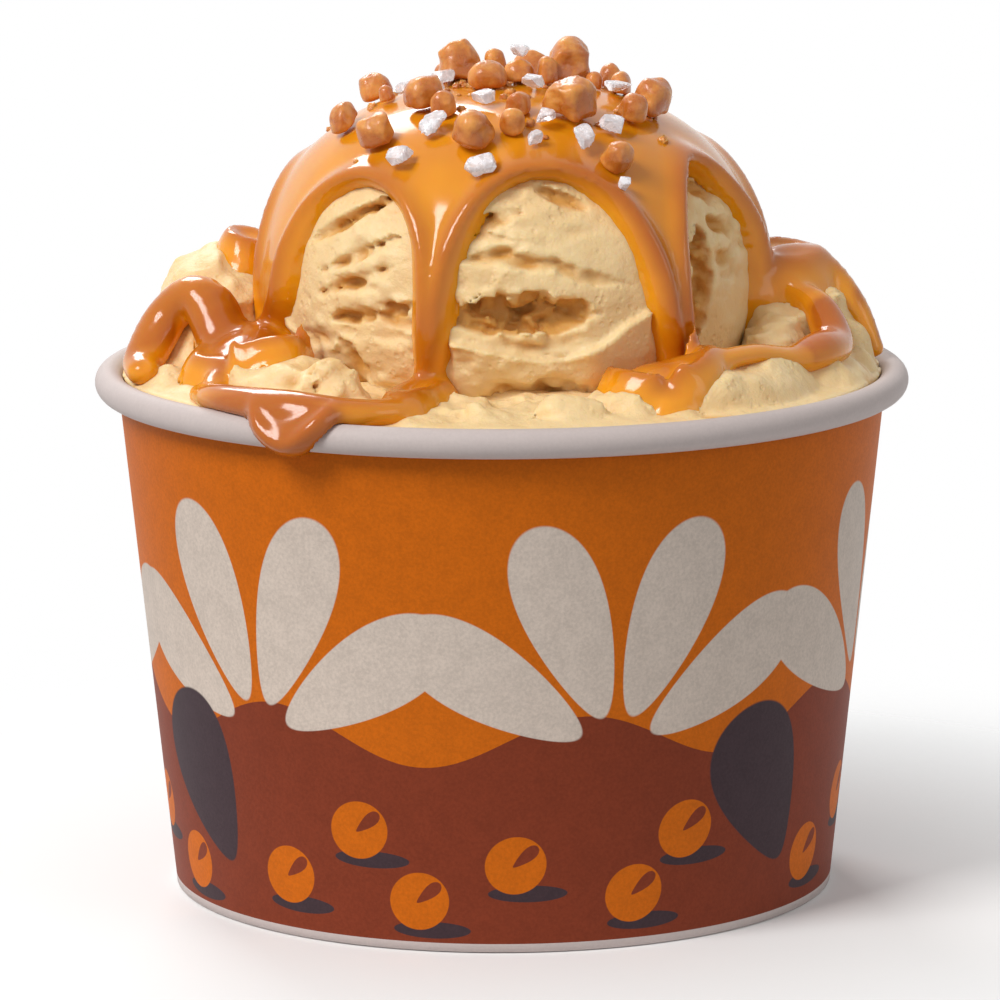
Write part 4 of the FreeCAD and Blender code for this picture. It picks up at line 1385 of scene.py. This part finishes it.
@dataclass(frozen=True)
class CaramelSizes:
    """Where the caramel lies and how thick it is, in millimetres."""

    cell: float = 0.48
    sheet: float = 1.5
    bead: float = 1.0
    bead_inset: float = 1.9
    bead_width: float = 1.2
    edge: float = 1.3
    under: float = 0.9
    windows: tuple = (
        Window(((-64, 71), (-72, 65), (-66, 56), (-29, 56), (-24, 70), (-24.5, 78), (-28, 82), (-34, 84.2),
                (-42, 85.2), (-50, 84.6), (-57, 82), (-61, 77))),
        Window(((-16.5, 56), (-14.5, 69), (-13.2, 75), (-10.6, 80.3), (-6.2, 84.1), (0.6, 86.2), (9.5, 86.8),
                (18, 86), (25, 83.8), (29, 80.4), (32, 76), (34, 70.6), (37, 65), (38.5, 56))),
        Window(((58, 86.4), (50, 83.5), (45.5, 78), (45.5, 71), (50, 64), (54, 56), (76, 56), (81, 66),
                (82, 73), (79, 78.6), (72, 82.9), (66, 85.6))),
        Window(((91, 56), (89, 70), (92, 78), (100, 83.5), (108, 85.5), (116, 84), (124, 78), (127, 68), (126, 56))),
        Window(((137, 56), (136, 70), (139, 78), (147, 84), (157, 86), (166, 84), (173, 78), (175, 68), (173, 56))),
        Window(((186, 56), (185, 70), (188, 79), (196, 84.5), (206, 86), (216, 84), (223, 78), (226, 68), (224, 56))),
        Window(((237, 56), (236, 68), (239, 77), (246, 82), (256, 84), (266, 82), (273, 76), (275, 68), (272, 56))),
    )
    strands: tuple = (
        Strand(((31, 33.5, 0.4, 2.9), (36, 36.0, 0.5, 2.4), (41, 37.0, 0.6, 1.7), (51, 37.2, 0.6, 1.5),
                (61, 38.2, 0.7, 2.0), (69, 39.4, 0.9, 2.7), (77, 39.6, 1.0, 2.5), (83, 37.4, 0.9, 2.0),
                (86, 33.8, 0.7, 0.9))),
        Strand(((86, 29.5, 0.4, 2.6), (93, 33.0, 0.6, 2.6), (96, 37.5, 0.7, 2.3), (94, 41.5, 0.6, 1.9),
                (92, 44.0, 0.3, 1.3))),
        Strand(((-76, 26.5, 4.5, 3.0), (-72, 29.5, 2.2, 3.6), (-66, 32.0, 1.3, 3.9), (-61, 34.5, 1.0, 3.4),
                (-57, 38.0, 0.7, 2.3), (-54, 41.5, 0.5, 1.3))),
        Strand(((-73, 43.6, 0.6, 2.0), (-78, 42.6, 1.0, 2.5), (-82, 39.4, 1.2, 2.8), (-79, 35.8, 1.3, 3.0),
                (-71, 33.8, 1.2, 3.1), (-64, 34.2, 0.9, 3.1))),
        Strand(((-54, 42.6, 0.3, 1.3), (-47, 44.2, 0.8, 2.0), (-40, 45.2, 1.0, 2.3), (-31, 45.6, 1.0, 2.6),
                (-23, 44.2, 0.8, 2.1), (-18, 41.0, 0.6, 1.9), (-15, 36.0, 0.5, 2.0))),
    )
    pools: tuple = (
        Pool(-63, 32.5, 7.5, 8.5),
        Pool(-98, 30.0, 4.5, 5.0),
        Pool(-17, 33.0, 8.5, 3.6),
        Pool(33, 34.0, 8.0, 7.0),
        Pool(95, 32.0, 7.5, 6.5),
        Pool(132, 30.5, 7.0, 5.0),
        Pool(180, 31.0, 7.5, 5.0),
        Pool(231, 30.5, 7.0, 5.5),
    )
    ripple: float = 0.25
    ripple_size: tuple = (8, 8, 14)
    wobble: float = 1.2
    wobble_size: tuple = (6, 6, 6)
    flatter: float = 1.5
    pool_blend: float = 2.2
    rope_blend: float = 1.6
    drip_azimuth: float = -30.0
    drip_half_turn: float = 7.0
    drip_low: float = 57.5
    drip_rise: float = 4.6
    drip_share: float = 0.8
    drip_blend: float = 1.2
    deepest: float = 2.9


class Caramel:
    """Poured caramel: cap with bare windows, streams, pools, ropes and the lip over the rim."""

    TURNS = 1440
    LEVELS = 200

    def __init__(self, sizes: CaramelSizes, scoop: Scoop, bed: Bed, cup: Cup) -> None:
        """Take what the caramel lies on.

        Args:
            sizes: where it lies and how thick it is.
            scoop: the ball under it.
            bed: the filling under it.
            cup: the cup whose rim it hangs over.
        """
        self.sizes = sizes
        self.scoop = scoop
        self.bed = bed
        self.cup = cup
        self.noise = Noise(37)

    def window_map(self) -> tuple[np.ndarray, float, float]:
        """Distance from the nearest window's edge on an unrolled map of the scoop.

        Returns:
            Distances by azimuth step and height step, positive on caramel, with the lowest and
            highest height of the map.
        """
        low, high = self.scoop.foot - 4, self.scoop.top + 4
        turn = np.linspace(-math.pi, math.pi, self.TURNS, endpoint=False)[:, None]
        level = np.linspace(low, high, self.LEVELS)[None, :]
        best = np.full((self.TURNS, self.LEVELS), 99.0)
        for window in self.sizes.windows:
            centre = math.radians(sum(point[0] for point in window.outline) / len(window.outline))
            across = ((turn - centre + math.pi) % (2 * math.pi) - math.pi) * self.scoop.radius
            outline = smooth_path(np.array([((math.radians(a) - centre) * self.scoop.radius, z, 0)
                                            for a, z in window.outline]), closed=True, steps=4)
            best = np.minimum(best, outline_distance(across, level, outline[:, :2]))
        return best.astype(np.float32), low, high

    def thickness(self, edge: np.ndarray) -> np.ndarray:
        """Thickness of a spread by the distance from its edge: rounded, with a bead along it.

        Args:
            edge: distance from the edge, positive on the spread.

        Returns:
            Thickness in millimetres, negative off the spread.
        """
        sizes = self.sizes
        share = np.clip(edge / sizes.edge, 0, 1)
        sheet = sizes.sheet * np.sqrt(1 - (1 - share) ** 2)
        bead = sizes.bead * np.exp(-((edge - sizes.bead_inset) / sizes.bead_width) ** 2) * share
        return np.where(edge > 0, sheet + bead, edge)

    def on_scoop(self, grid: Grid) -> np.ndarray:
        """Field of the caramel that lies on the scoop.

        Args:
            grid: the grid.

        Returns:
            The field, negative inside.
        """
        edges, low, high = self.window_map()
        distance = self.scoop.distance(grid.x, grid.y, grid.z)
        turn = (np.arctan2(grid.x - self.scoop.offset, -grid.y) + math.pi) / (2 * math.pi) * self.TURNS
        column = np.floor(turn).astype(int)
        part = turn - column
        level = np.clip((grid.z - low) / (high - low) * (self.LEVELS - 1), 0, self.LEVELS - 1.001)
        row = np.floor(level).astype(int)
        rise = level - row
        first, second = column % self.TURNS, (column + 1) % self.TURNS
        edge = ((edges[first, row] * (1 - rise) + edges[first, row + 1] * rise) * (1 - part)
                + (edges[second, row] * (1 - rise) + edges[second, row + 1] * rise) * part)
        ripple = self.sizes.ripple * self.noise.at(grid.x, grid.y, grid.z, self.sizes.ripple_size)
        field = distance - self.thickness(edge) - ripple
        return np.maximum(field, -distance - self.sizes.under)

    def spread(self, grid: Grid) -> np.ndarray:
        """Distance inside the edge of the pools, for each column of a grid.

        Args:
            grid: the grid.

        Returns:
            The distance, positive in a pool.
        """
        edge = np.full(np.broadcast(grid.x, grid.y).shape, -99.0, dtype=np.float32)
        wobble = self.sizes.wobble * self.noise.at(grid.x, grid.y, 0 * grid.x, self.sizes.wobble_size)
        for pool in self.sizes.pools:
            out = np.array([math.sin(math.radians(pool.azimuth)), -math.cos(math.radians(pool.azimuth))])
            off_x, off_y = grid.x - out[0] * pool.distance, grid.y - out[1] * pool.distance
            across = (off_x * out[0] + off_y * out[1]) / pool.across
            along = (off_y * out[0] - off_x * out[1]) / pool.along
            size = min(pool.across, pool.along)
            edge = np.maximum(edge, (1 - np.hypot(across, along)) * size + wobble)
        return edge

    def on_bed(self, grid: Grid) -> np.ndarray:
        """Field of the pools on the filling.

        Args:
            grid: the grid.

        Returns:
            The field, negative inside.
        """
        distance = self.bed.distance(grid.x, grid.y, grid.z)
        field = distance - self.thickness(self.spread(grid))
        return np.maximum(field, -distance - self.sizes.under)

    def rope(self, grid: Grid, strand: Strand, field: np.ndarray) -> np.ndarray:
        """Add a rope of caramel to a field.

        Args:
            grid: the grid.
            strand: the rope.
            field: the field so far.

        Returns:
            The field with the rope.
        """
        path = []
        for azimuth, distance, lift, radius in strand.stations:
            x, y = distance * math.sin(math.radians(azimuth)), -distance * math.cos(math.radians(azimuth))
            ground = float(self.bed.height(np.array(x), np.array(y)))
            rim = self.cup.height if distance > self.cup.rim - 2 * self.cup.sizes.roll - 1 else 0.0
            path.append((x, y, max(ground, rim) + lift, radius))
        path = smooth_path(np.array(path), closed=False, steps=5)
        reach = np.full(field.shape, 50.0, dtype=np.float32)
        for first, second in zip(path, path[1:]):
            thick = max(first[3], second[3]) + 3.0
            where = grid.near(np.minimum(first, second)[:3] - thick, np.maximum(first, second)[:3] + thick)
            x, y, z = grid.part(where)
            run = (second - first)[:3]
            length = max(float(run @ run), 1e-9)
            away_x, away_y, away_z = x - first[0], y - first[1], z - first[2]
            share = np.clip((away_x * run[0] + away_y * run[1] + away_z * run[2]) / length, 0, 1)
            away = np.sqrt((away_x - share * run[0]) ** 2 + (away_y - share * run[1]) ** 2
                           + self.sizes.flatter * (away_z - share * run[2]) ** 2)
            reach[where] = np.minimum(reach[where], away - (first[3] + share * (second[3] - first[3])))
        return smooth_min(field, reach, self.sizes.rope_blend)

    def lip(self, grid: Grid) -> np.ndarray:
        """Field of the caramel that hangs over the rim at the front left.

        Args:
            grid: the grid.

        Returns:
            The field, negative inside.
        """
        turn = np.degrees(np.arctan2(grid.x, -grid.y))
        reach = np.hypot(grid.x, grid.y)
        roll = self.cup.sizes.roll
        section = np.hypot(reach - (self.cup.rim - roll), grid.z - (self.cup.height - roll)) - roll
        sizes = self.sizes
        off = np.abs(turn - sizes.drip_azimuth) / sizes.drip_half_turn
        edge = (grid.z - sizes.drip_low - sizes.drip_rise * off ** 1.8) / np.sqrt(1 + 3 * np.clip(off, 0, 1.5) ** 2)
        return np.maximum(section - sizes.drip_share * self.thickness(edge), -section + 0.05)

    def build(self, finish: bpy.types.Material) -> bpy.types.Object:
        """Make the caramel.

        Args:
            finish: the caramel.

        Returns:
            The caramel's object.
        """
        edge = self.cup.rim
        grid = Grid((-edge, -edge - 2.5, self.bed.level - 7.0), (edge, 40.0, self.scoop.top + 5.0), self.sizes.cell)
        field = smooth_min(self.on_scoop(grid), self.on_bed(grid), self.sizes.pool_blend)
        for strand in self.sizes.strands:
            field = self.rope(grid, strand, field)
        field = smooth_min(field, self.lip(grid), self.sizes.drip_blend)
        reach = np.hypot(grid.x, grid.y)
        roll = self.cup.sizes.roll
        rim = roll - np.hypot(reach - (self.cup.rim - roll), grid.z - (self.cup.height - roll))
        below = np.minimum(self.cup.height - roll - grid.z, reach - (self.cup.rim - 2 * roll))
        wall = np.minimum(below, self.cup.outer(0) + self.cup.slope * grid.z + 0.1 - reach)
        field = np.maximum(field, np.maximum(rim, wall) + 0.02)
        filling = np.maximum(self.bed.distance(grid.x, grid.y, grid.z), reach - (self.cup.rim - 2 * roll))
        ground = np.minimum(self.scoop.distance(grid.x, grid.y, grid.z), filling)
        field = np.maximum(field, -ground - self.sizes.under)
        points, faces = grid.skin(field.astype(np.float32))
        sauce = make_object("caramel_sauce_poured", points, faces, [finish])
        set_attribute(sauce, "depth", grid.sample(np.clip(ground, -1, self.sizes.deepest), points))
        ride(sauce, Slot.CARAMEL, "caramel_sauce")
        return sauce


def smooth_path(path: np.ndarray, closed: bool, steps: int) -> np.ndarray:
    """Round a path through its points.

    Args:
        path: points, one a row, with any number of values each.
        closed: whether the last point joins the first.
        steps: pieces for each span.

    Returns:
        The finer path.
    """
    ring = np.vstack([path[-1:], path, path[:2]] if closed else [path[:1], path, path[-1:]])
    result = []
    for before, start, end, after in zip(ring, ring[1:], ring[2:], ring[3:]):
        for t in np.arange(steps) / steps:
            result.append(0.5 * (2 * start + (end - before) * t
                                 + (2 * before - 5 * start + 4 * end - after) * t ** 2
                                 + (3 * start - before - 3 * end + after) * t ** 3))
    return np.array(result if closed else result + [path[-1]])


def outline_distance(x: np.ndarray, y: np.ndarray, outline: np.ndarray) -> np.ndarray:
    """Signed distance from a closed outline.

    Args:
        x: first coordinates.
        y: second coordinates.
        outline: its corners, one a row.

    Returns:
        Distance, negative inside.
    """
    best = np.full(np.broadcast(x, y).shape, 1e9)
    inside = np.zeros(best.shape, dtype=bool)
    for first, second in zip(outline, np.roll(outline, -1, axis=0)):
        run = second - first
        share = np.clip(((x - first[0]) * run[0] + (y - first[1]) * run[1]) / max(run @ run, 1e-9), 0, 1)
        best = np.minimum(best, (x - first[0] - share * run[0]) ** 2 + (y - first[1] - share * run[1]) ** 2)
        crosses = (first[1] <= y) != (second[1] <= y)
        where = first[0] + (y - first[1]) * run[0] / (run[1] if abs(run[1]) > 1e-9 else 1e-9)
        inside ^= crosses & (x < where)
    return np.where(inside, -1, 1) * np.sqrt(best)


def solid_planes(node: str) -> tuple[np.ndarray, np.ndarray, np.ndarray]:
    """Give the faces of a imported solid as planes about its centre.

    Args:
        node: name of the node.

    Returns:
        Centre in millimetres, outward normals and distances of the planes.
    """
    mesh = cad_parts[node].data
    low, high = box_mm(node)
    centre = (low + high) / 2
    normals = np.array([face.normal[:] for face in mesh.polygons])
    places = np.array([face.center[:] for face in mesh.polygons]) / MM
    distances = ((places - centre) * normals).sum(axis=1)
    good = distances > 0.15
    return centre, normals[good], distances[good]


def ball_points(steps: int) -> tuple[np.ndarray, np.ndarray]:
    """Give an even ball of unit radius made from a cube.

    Args:
        steps: faces along each of the cube's edges.

    Returns:
        Points and four-sided faces.
    """
    index: dict[tuple, int] = {}
    points, faces = [], []

    def corner(place: tuple) -> int:
        """Give the number of a point of the cube, pushed out to the ball when it is new."""
        if place not in index:
            index[place] = len(points)
            bent = np.tan((np.array(place) / steps - 0.5) * math.pi / 2)
            points.append(bent / np.linalg.norm(bent))
        return index[place]

    for axis in range(3):
        for end in (0, steps):
            for i in range(steps):
                for j in range(steps):
                    quad = []
                    for a, b in ((i, j), (i + 1, j), (i + 1, j + 1), (i, j + 1)):
                        place = [0, 0, 0]
                        place[axis], place[(axis + 1) % 3], place[(axis + 2) % 3] = end, a, b
                        quad.append(corner(tuple(place)))
                    faces.append(quad if end else quad[::-1])
    return np.array(points), np.array(faces)


@dataclass(frozen=True)
class ToppingSizes:
    """How crumbs, flakes and grains are shaped, in millimetres and in shares of their size."""

    crumb_steps: int = 22
    crumb_corner: int = 9
    crumb_swell: float = 1.2
    lump: float = 0.24
    lump_size: tuple = (2.3, 2.3, 2.3)
    grit: float = 0.06
    grit_size: tuple = (0.9, 0.9, 0.9)
    flake_steps: int = 8
    flake_corner: int = 40
    flake_swell: float = 1.45
    flake_cuts: int = 5
    flake_lift: float = 0.6
    grains: int = 110
    grain_steps: int = 5
    grain_spread: float = 8.5
    grain_rough: float = 0.18


class Toppings:
    """Toffee crumbs and salt flakes, each worked out from its packed block."""

    def __init__(self, sizes: ToppingSizes, scoop: Scoop) -> None:
        """Prepare the shapes' noise.

        Args:
            sizes: how they are shaped.
            scoop: the ball that they lie on.
        """
        self.sizes = sizes
        self.noise = Noise(53)
        self.heart = np.array([scoop.offset, 0.0, scoop.waist])

    def crumb(self, node: str, seed: int, finish: bpy.types.Material) -> None:
        """Make a lumpy crumb with rounded corners.

        Args:
            node: its packed block.
            seed: number that sets its bumps.
            finish: the toffee.
        """
        sizes = self.sizes
        directions, faces = ball_points(sizes.crumb_steps)
        centre, normals, distances = solid_planes(node)
        facing = np.clip(directions @ normals.T, 0, None) / distances
        radius = (facing ** sizes.crumb_corner).sum(axis=1) ** (-1 / sizes.crumb_corner)
        points = directions * radius[:, None]
        shift = 31.7 * seed
        x, y, z = points[:, 0] + shift, points[:, 1] - shift, points[:, 2]
        lumps = 1 - 2 * np.abs(self.noise.at(x, y, z, sizes.lump_size))
        grit = self.noise.fractal(x, y, z, sizes.grit_size, 2)
        points = centre + points * (sizes.crumb_swell + sizes.lump * lumps + sizes.grit * grit)[:, None]
        ride(make_object(node + "_piece", points, faces, [finish]), Slot.TOFFEE, node)

    def flake(self, node: str, seed: int, finish: bpy.types.Material) -> None:
        """Make a flake with broken, flat facets.

        Args:
            node: its packed block.
            seed: number that sets its breaks.
            finish: the salt.
        """
        sizes = self.sizes
        draw = np.random.default_rng(seed)
        centre, normals, distances = solid_planes(node)
        cuts = draw.normal(size=(sizes.flake_cuts, 3))
        cuts /= np.linalg.norm(cuts, axis=1)[:, None]
        reach = 1 / (np.clip(cuts @ normals.T, 1e-6, None) / distances).max(axis=1)
        planes = np.vstack([normals, cuts])
        limits = np.concatenate([distances * sizes.flake_swell, reach * draw.uniform(1.1, 1.35, sizes.flake_cuts)])
        directions, faces = ball_points(sizes.flake_steps)
        facing = np.clip(directions @ planes.T, 0, None) / limits
        radius = (facing ** sizes.flake_corner).sum(axis=1) ** (-1 / sizes.flake_corner)
        lift = (centre - self.heart) / np.linalg.norm(centre - self.heart) * sizes.flake_lift
        points = centre + lift + directions * radius[:, None]
        ride(make_object(node + "_piece", points, faces, [finish], smooth=False), Slot.SALT, node)

    def grains(self, sauce: bpy.types.Object, finish: bpy.types.Material) -> None:
        """Scatter tiny grains of toffee over the crown.

        Args:
            sauce: the caramel that they stick to.
            finish: the toffee.
        """
        draw = np.random.default_rng(7)
        tree = BVHTree.FromPolygons([vertex.co for vertex in sauce.data.vertices],
                                    [face.vertices for face in sauce.data.polygons])
        directions, faces = ball_points(self.sizes.grain_steps)
        points, quads = [], []
        while len(points) < self.sizes.grains:
            x, y = draw.normal(0, self.sizes.grain_spread, 2)
            hit = tree.ray_cast(Vector(((self.heart[0] + x) * MM, y * MM, 0.12)), Vector((0, 0, -1)))[0]
            if hit is None:
                continue
            size = draw.uniform(0.25, 0.6) * draw.uniform(0.75, 1.25, 3)
            rough = 1 + self.sizes.grain_rough * draw.normal(size=(len(directions), 1))
            quads.append(faces + len(points) * len(directions))
            points.append(np.array(hit) / MM + directions * size * rough)
        grains = make_object("toffee_grains", np.concatenate(points), np.concatenate(quads), [finish])
        ride(grains, Slot.TOFFEE)

    def build(self, toffee: bpy.types.Material, salt: bpy.types.Material, sauce: bpy.types.Object) -> None:
        """Make all the toppings.

        Args:
            toffee: finish of the crumbs.
            salt: finish of the flakes.
            sauce: the caramel under them.
        """
        self.grains(sauce, toffee)
        for seed, node in enumerate(sorted(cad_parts)):
            if node.startswith("toffee_"):
                self.crumb(node, seed, toffee)
            elif node.startswith("salt_"):
                self.flake(node, seed, salt)


@dataclass(frozen=True)
class Lamp:
    """One soft square light: place and side in metres, power in watts."""

    name: str
    place: tuple
    side: float
    power: float
    colour: tuple


@dataclass(frozen=True)
class StudioSizes:
    """Camera, lights, floor and background: places and lengths in metres, angles in radians."""

    camera: tuple = (0.00025, -0.7645, 0.1865)
    pitch: float = math.radians(79.54)
    roll: float = 0.0036
    lens: float = 235.9
    sensor: float = 36.0
    lamps: tuple = (
        Lamp("key light", (-0.55, -0.5, 0.75), 0.4, 8.0, (1.0, 0.985, 0.97)),
        Lamp("fill light", (0.75, -0.45, 0.35), 0.4, 0.7, (1.0, 0.98, 0.96)),
        Lamp("back light", (-0.2, 0.65, 0.6), 0.3, 2.5, (1.0, 1.0, 1.0)),
    )
    aim: tuple = (0, 0, 0.05)
    floor: float = 0.9
    floor_drop: float = 0.00002
    fade_start: float = 0.045
    fade_end: float = 0.13
    world: float = 0.42


class Studio:
    """White floor, soft lights from the upper left and the camera of the photo."""

    def __init__(self, sizes: StudioSizes) -> None:
        """Take the sizes.

        Args:
            sizes: camera, lights, floor and background.
        """
        self.sizes = sizes

    def place(self, name: str, data: object, where: tuple) -> bpy.types.Object:
        """Put a light or a camera into the scene.

        Args:
            name: name of the object.
            data: the light or the camera.
            where: its place.

        Returns:
            The object.
        """
        thing = bpy.data.objects.new(name, data)
        thing.location = where
        bpy.context.scene.collection.objects.link(thing)
        return thing

    def light(self, lamp: Lamp) -> None:
        """Add a soft square light that points at the dessert.

        Args:
            lamp: the light.
        """
        light = bpy.data.lights.new(lamp.name, "AREA")
        light.size, light.energy, light.color = lamp.side, lamp.power, lamp.colour
        aim = Vector(self.sizes.aim) - Vector(lamp.place)
        self.place(lamp.name, light, lamp.place).rotation_euler = aim.to_track_quat("-Z", "Y").to_euler()

    def build(self) -> None:
        """Make the floor, the lights, the background and the camera."""
        for lamp in self.sizes.lamps:
            self.light(lamp)
        self.build_floor()
        self.build_world()
        camera = bpy.data.cameras.new("camera")
        camera.lens, camera.sensor_width = self.sizes.lens, self.sizes.sensor
        thing = self.place("camera", camera, self.sizes.camera)
        thing.rotation_euler = (self.sizes.pitch, self.sizes.roll, 0.0)
        bpy.context.scene.camera = thing
        bpy.context.scene.view_settings.view_transform = "Standard"

    def build_floor(self) -> None:
        """Make a pale floor that fades into the background."""
        sizes = self.sizes
        material, tree, shader, place = start_material("pale floor")
        away = tree.vector("LENGTH", place)
        tree.fill(shader, {"Base Color": (0.9, 0.9, 0.9, 1.0), "Roughness": 0.8,
                           "Alpha": tree.step(away, sizes.fade_start, sizes.fade_end, (1.0, 0.0))})
        corners = [(x * sizes.floor, y * sizes.floor, -sizes.floor_drop)
                   for x, y in ((-1, -1), (1, -1), (1, 1), (-1, 1))]
        make_object("floor", np.array(corners) / MM, [(0, 1, 2, 3)], [material])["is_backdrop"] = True

    def build_world(self) -> None:
        """Make a background that is white to the camera and softer as light."""
        world = bpy.data.worlds.new("studio")
        world.use_nodes = True
        tree = Tree(world.node_tree)
        background = next(node for node in world.node_tree.nodes if node.type == "BACKGROUND")
        path = tree.add("ShaderNodeLightPath")
        clear = tree.math("MAXIMUM", path.outputs["Is Glossy Ray"], path.outputs["Is Transmission Ray"])
        seen = tree.math("MAXIMUM", path.outputs["Is Camera Ray"], clear)
        strength = tree.math("MULTIPLY_ADD", seen, 1.0 - self.sizes.world, self.sizes.world)
        tree.fill(background, {"Color": (1.0, 1.0, 1.0, 1.0), "Strength": strength})
        bpy.context.scene.world = world


def plain_bounds() -> list[float]:
    """Returns:
        The numbers, in metres.
    """
    return [round(float(value), 5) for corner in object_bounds() for value in corner]


def main(start: Optional[list[float]] = None) -> None:
    """Build the look.

    Args:
        start: the part's box right after loading; not used.
    """
    logging.basicConfig(level=logging.INFO, format="%(name)s: %(message)s")
    build_groups()
    ice_cream = IceCreamFinish().build()
    cup = Cup(CupSizes())
    cup.build(PrintedBoard().build(), WhiteBoard().build())
    scoop = Scoop(ScoopSizes())
    scoop.build(ice_cream)
    bed = Bed(BedSizes(), cup)
    caramel = Caramel(CaramelSizes(), scoop, bed, cup)
    top = bed.top_grid()
    bed.build(ice_cream, caramel.spread(top), top)
    sauce = caramel.build(CaramelFinish().build())
    Toppings(ToppingSizes(), scoop).build(ToffeeFinish().build(), SaltFinish().build(), sauce)
    Studio(StudioSizes()).build()


if __name__ == "__main__":
    main(plain_bounds())
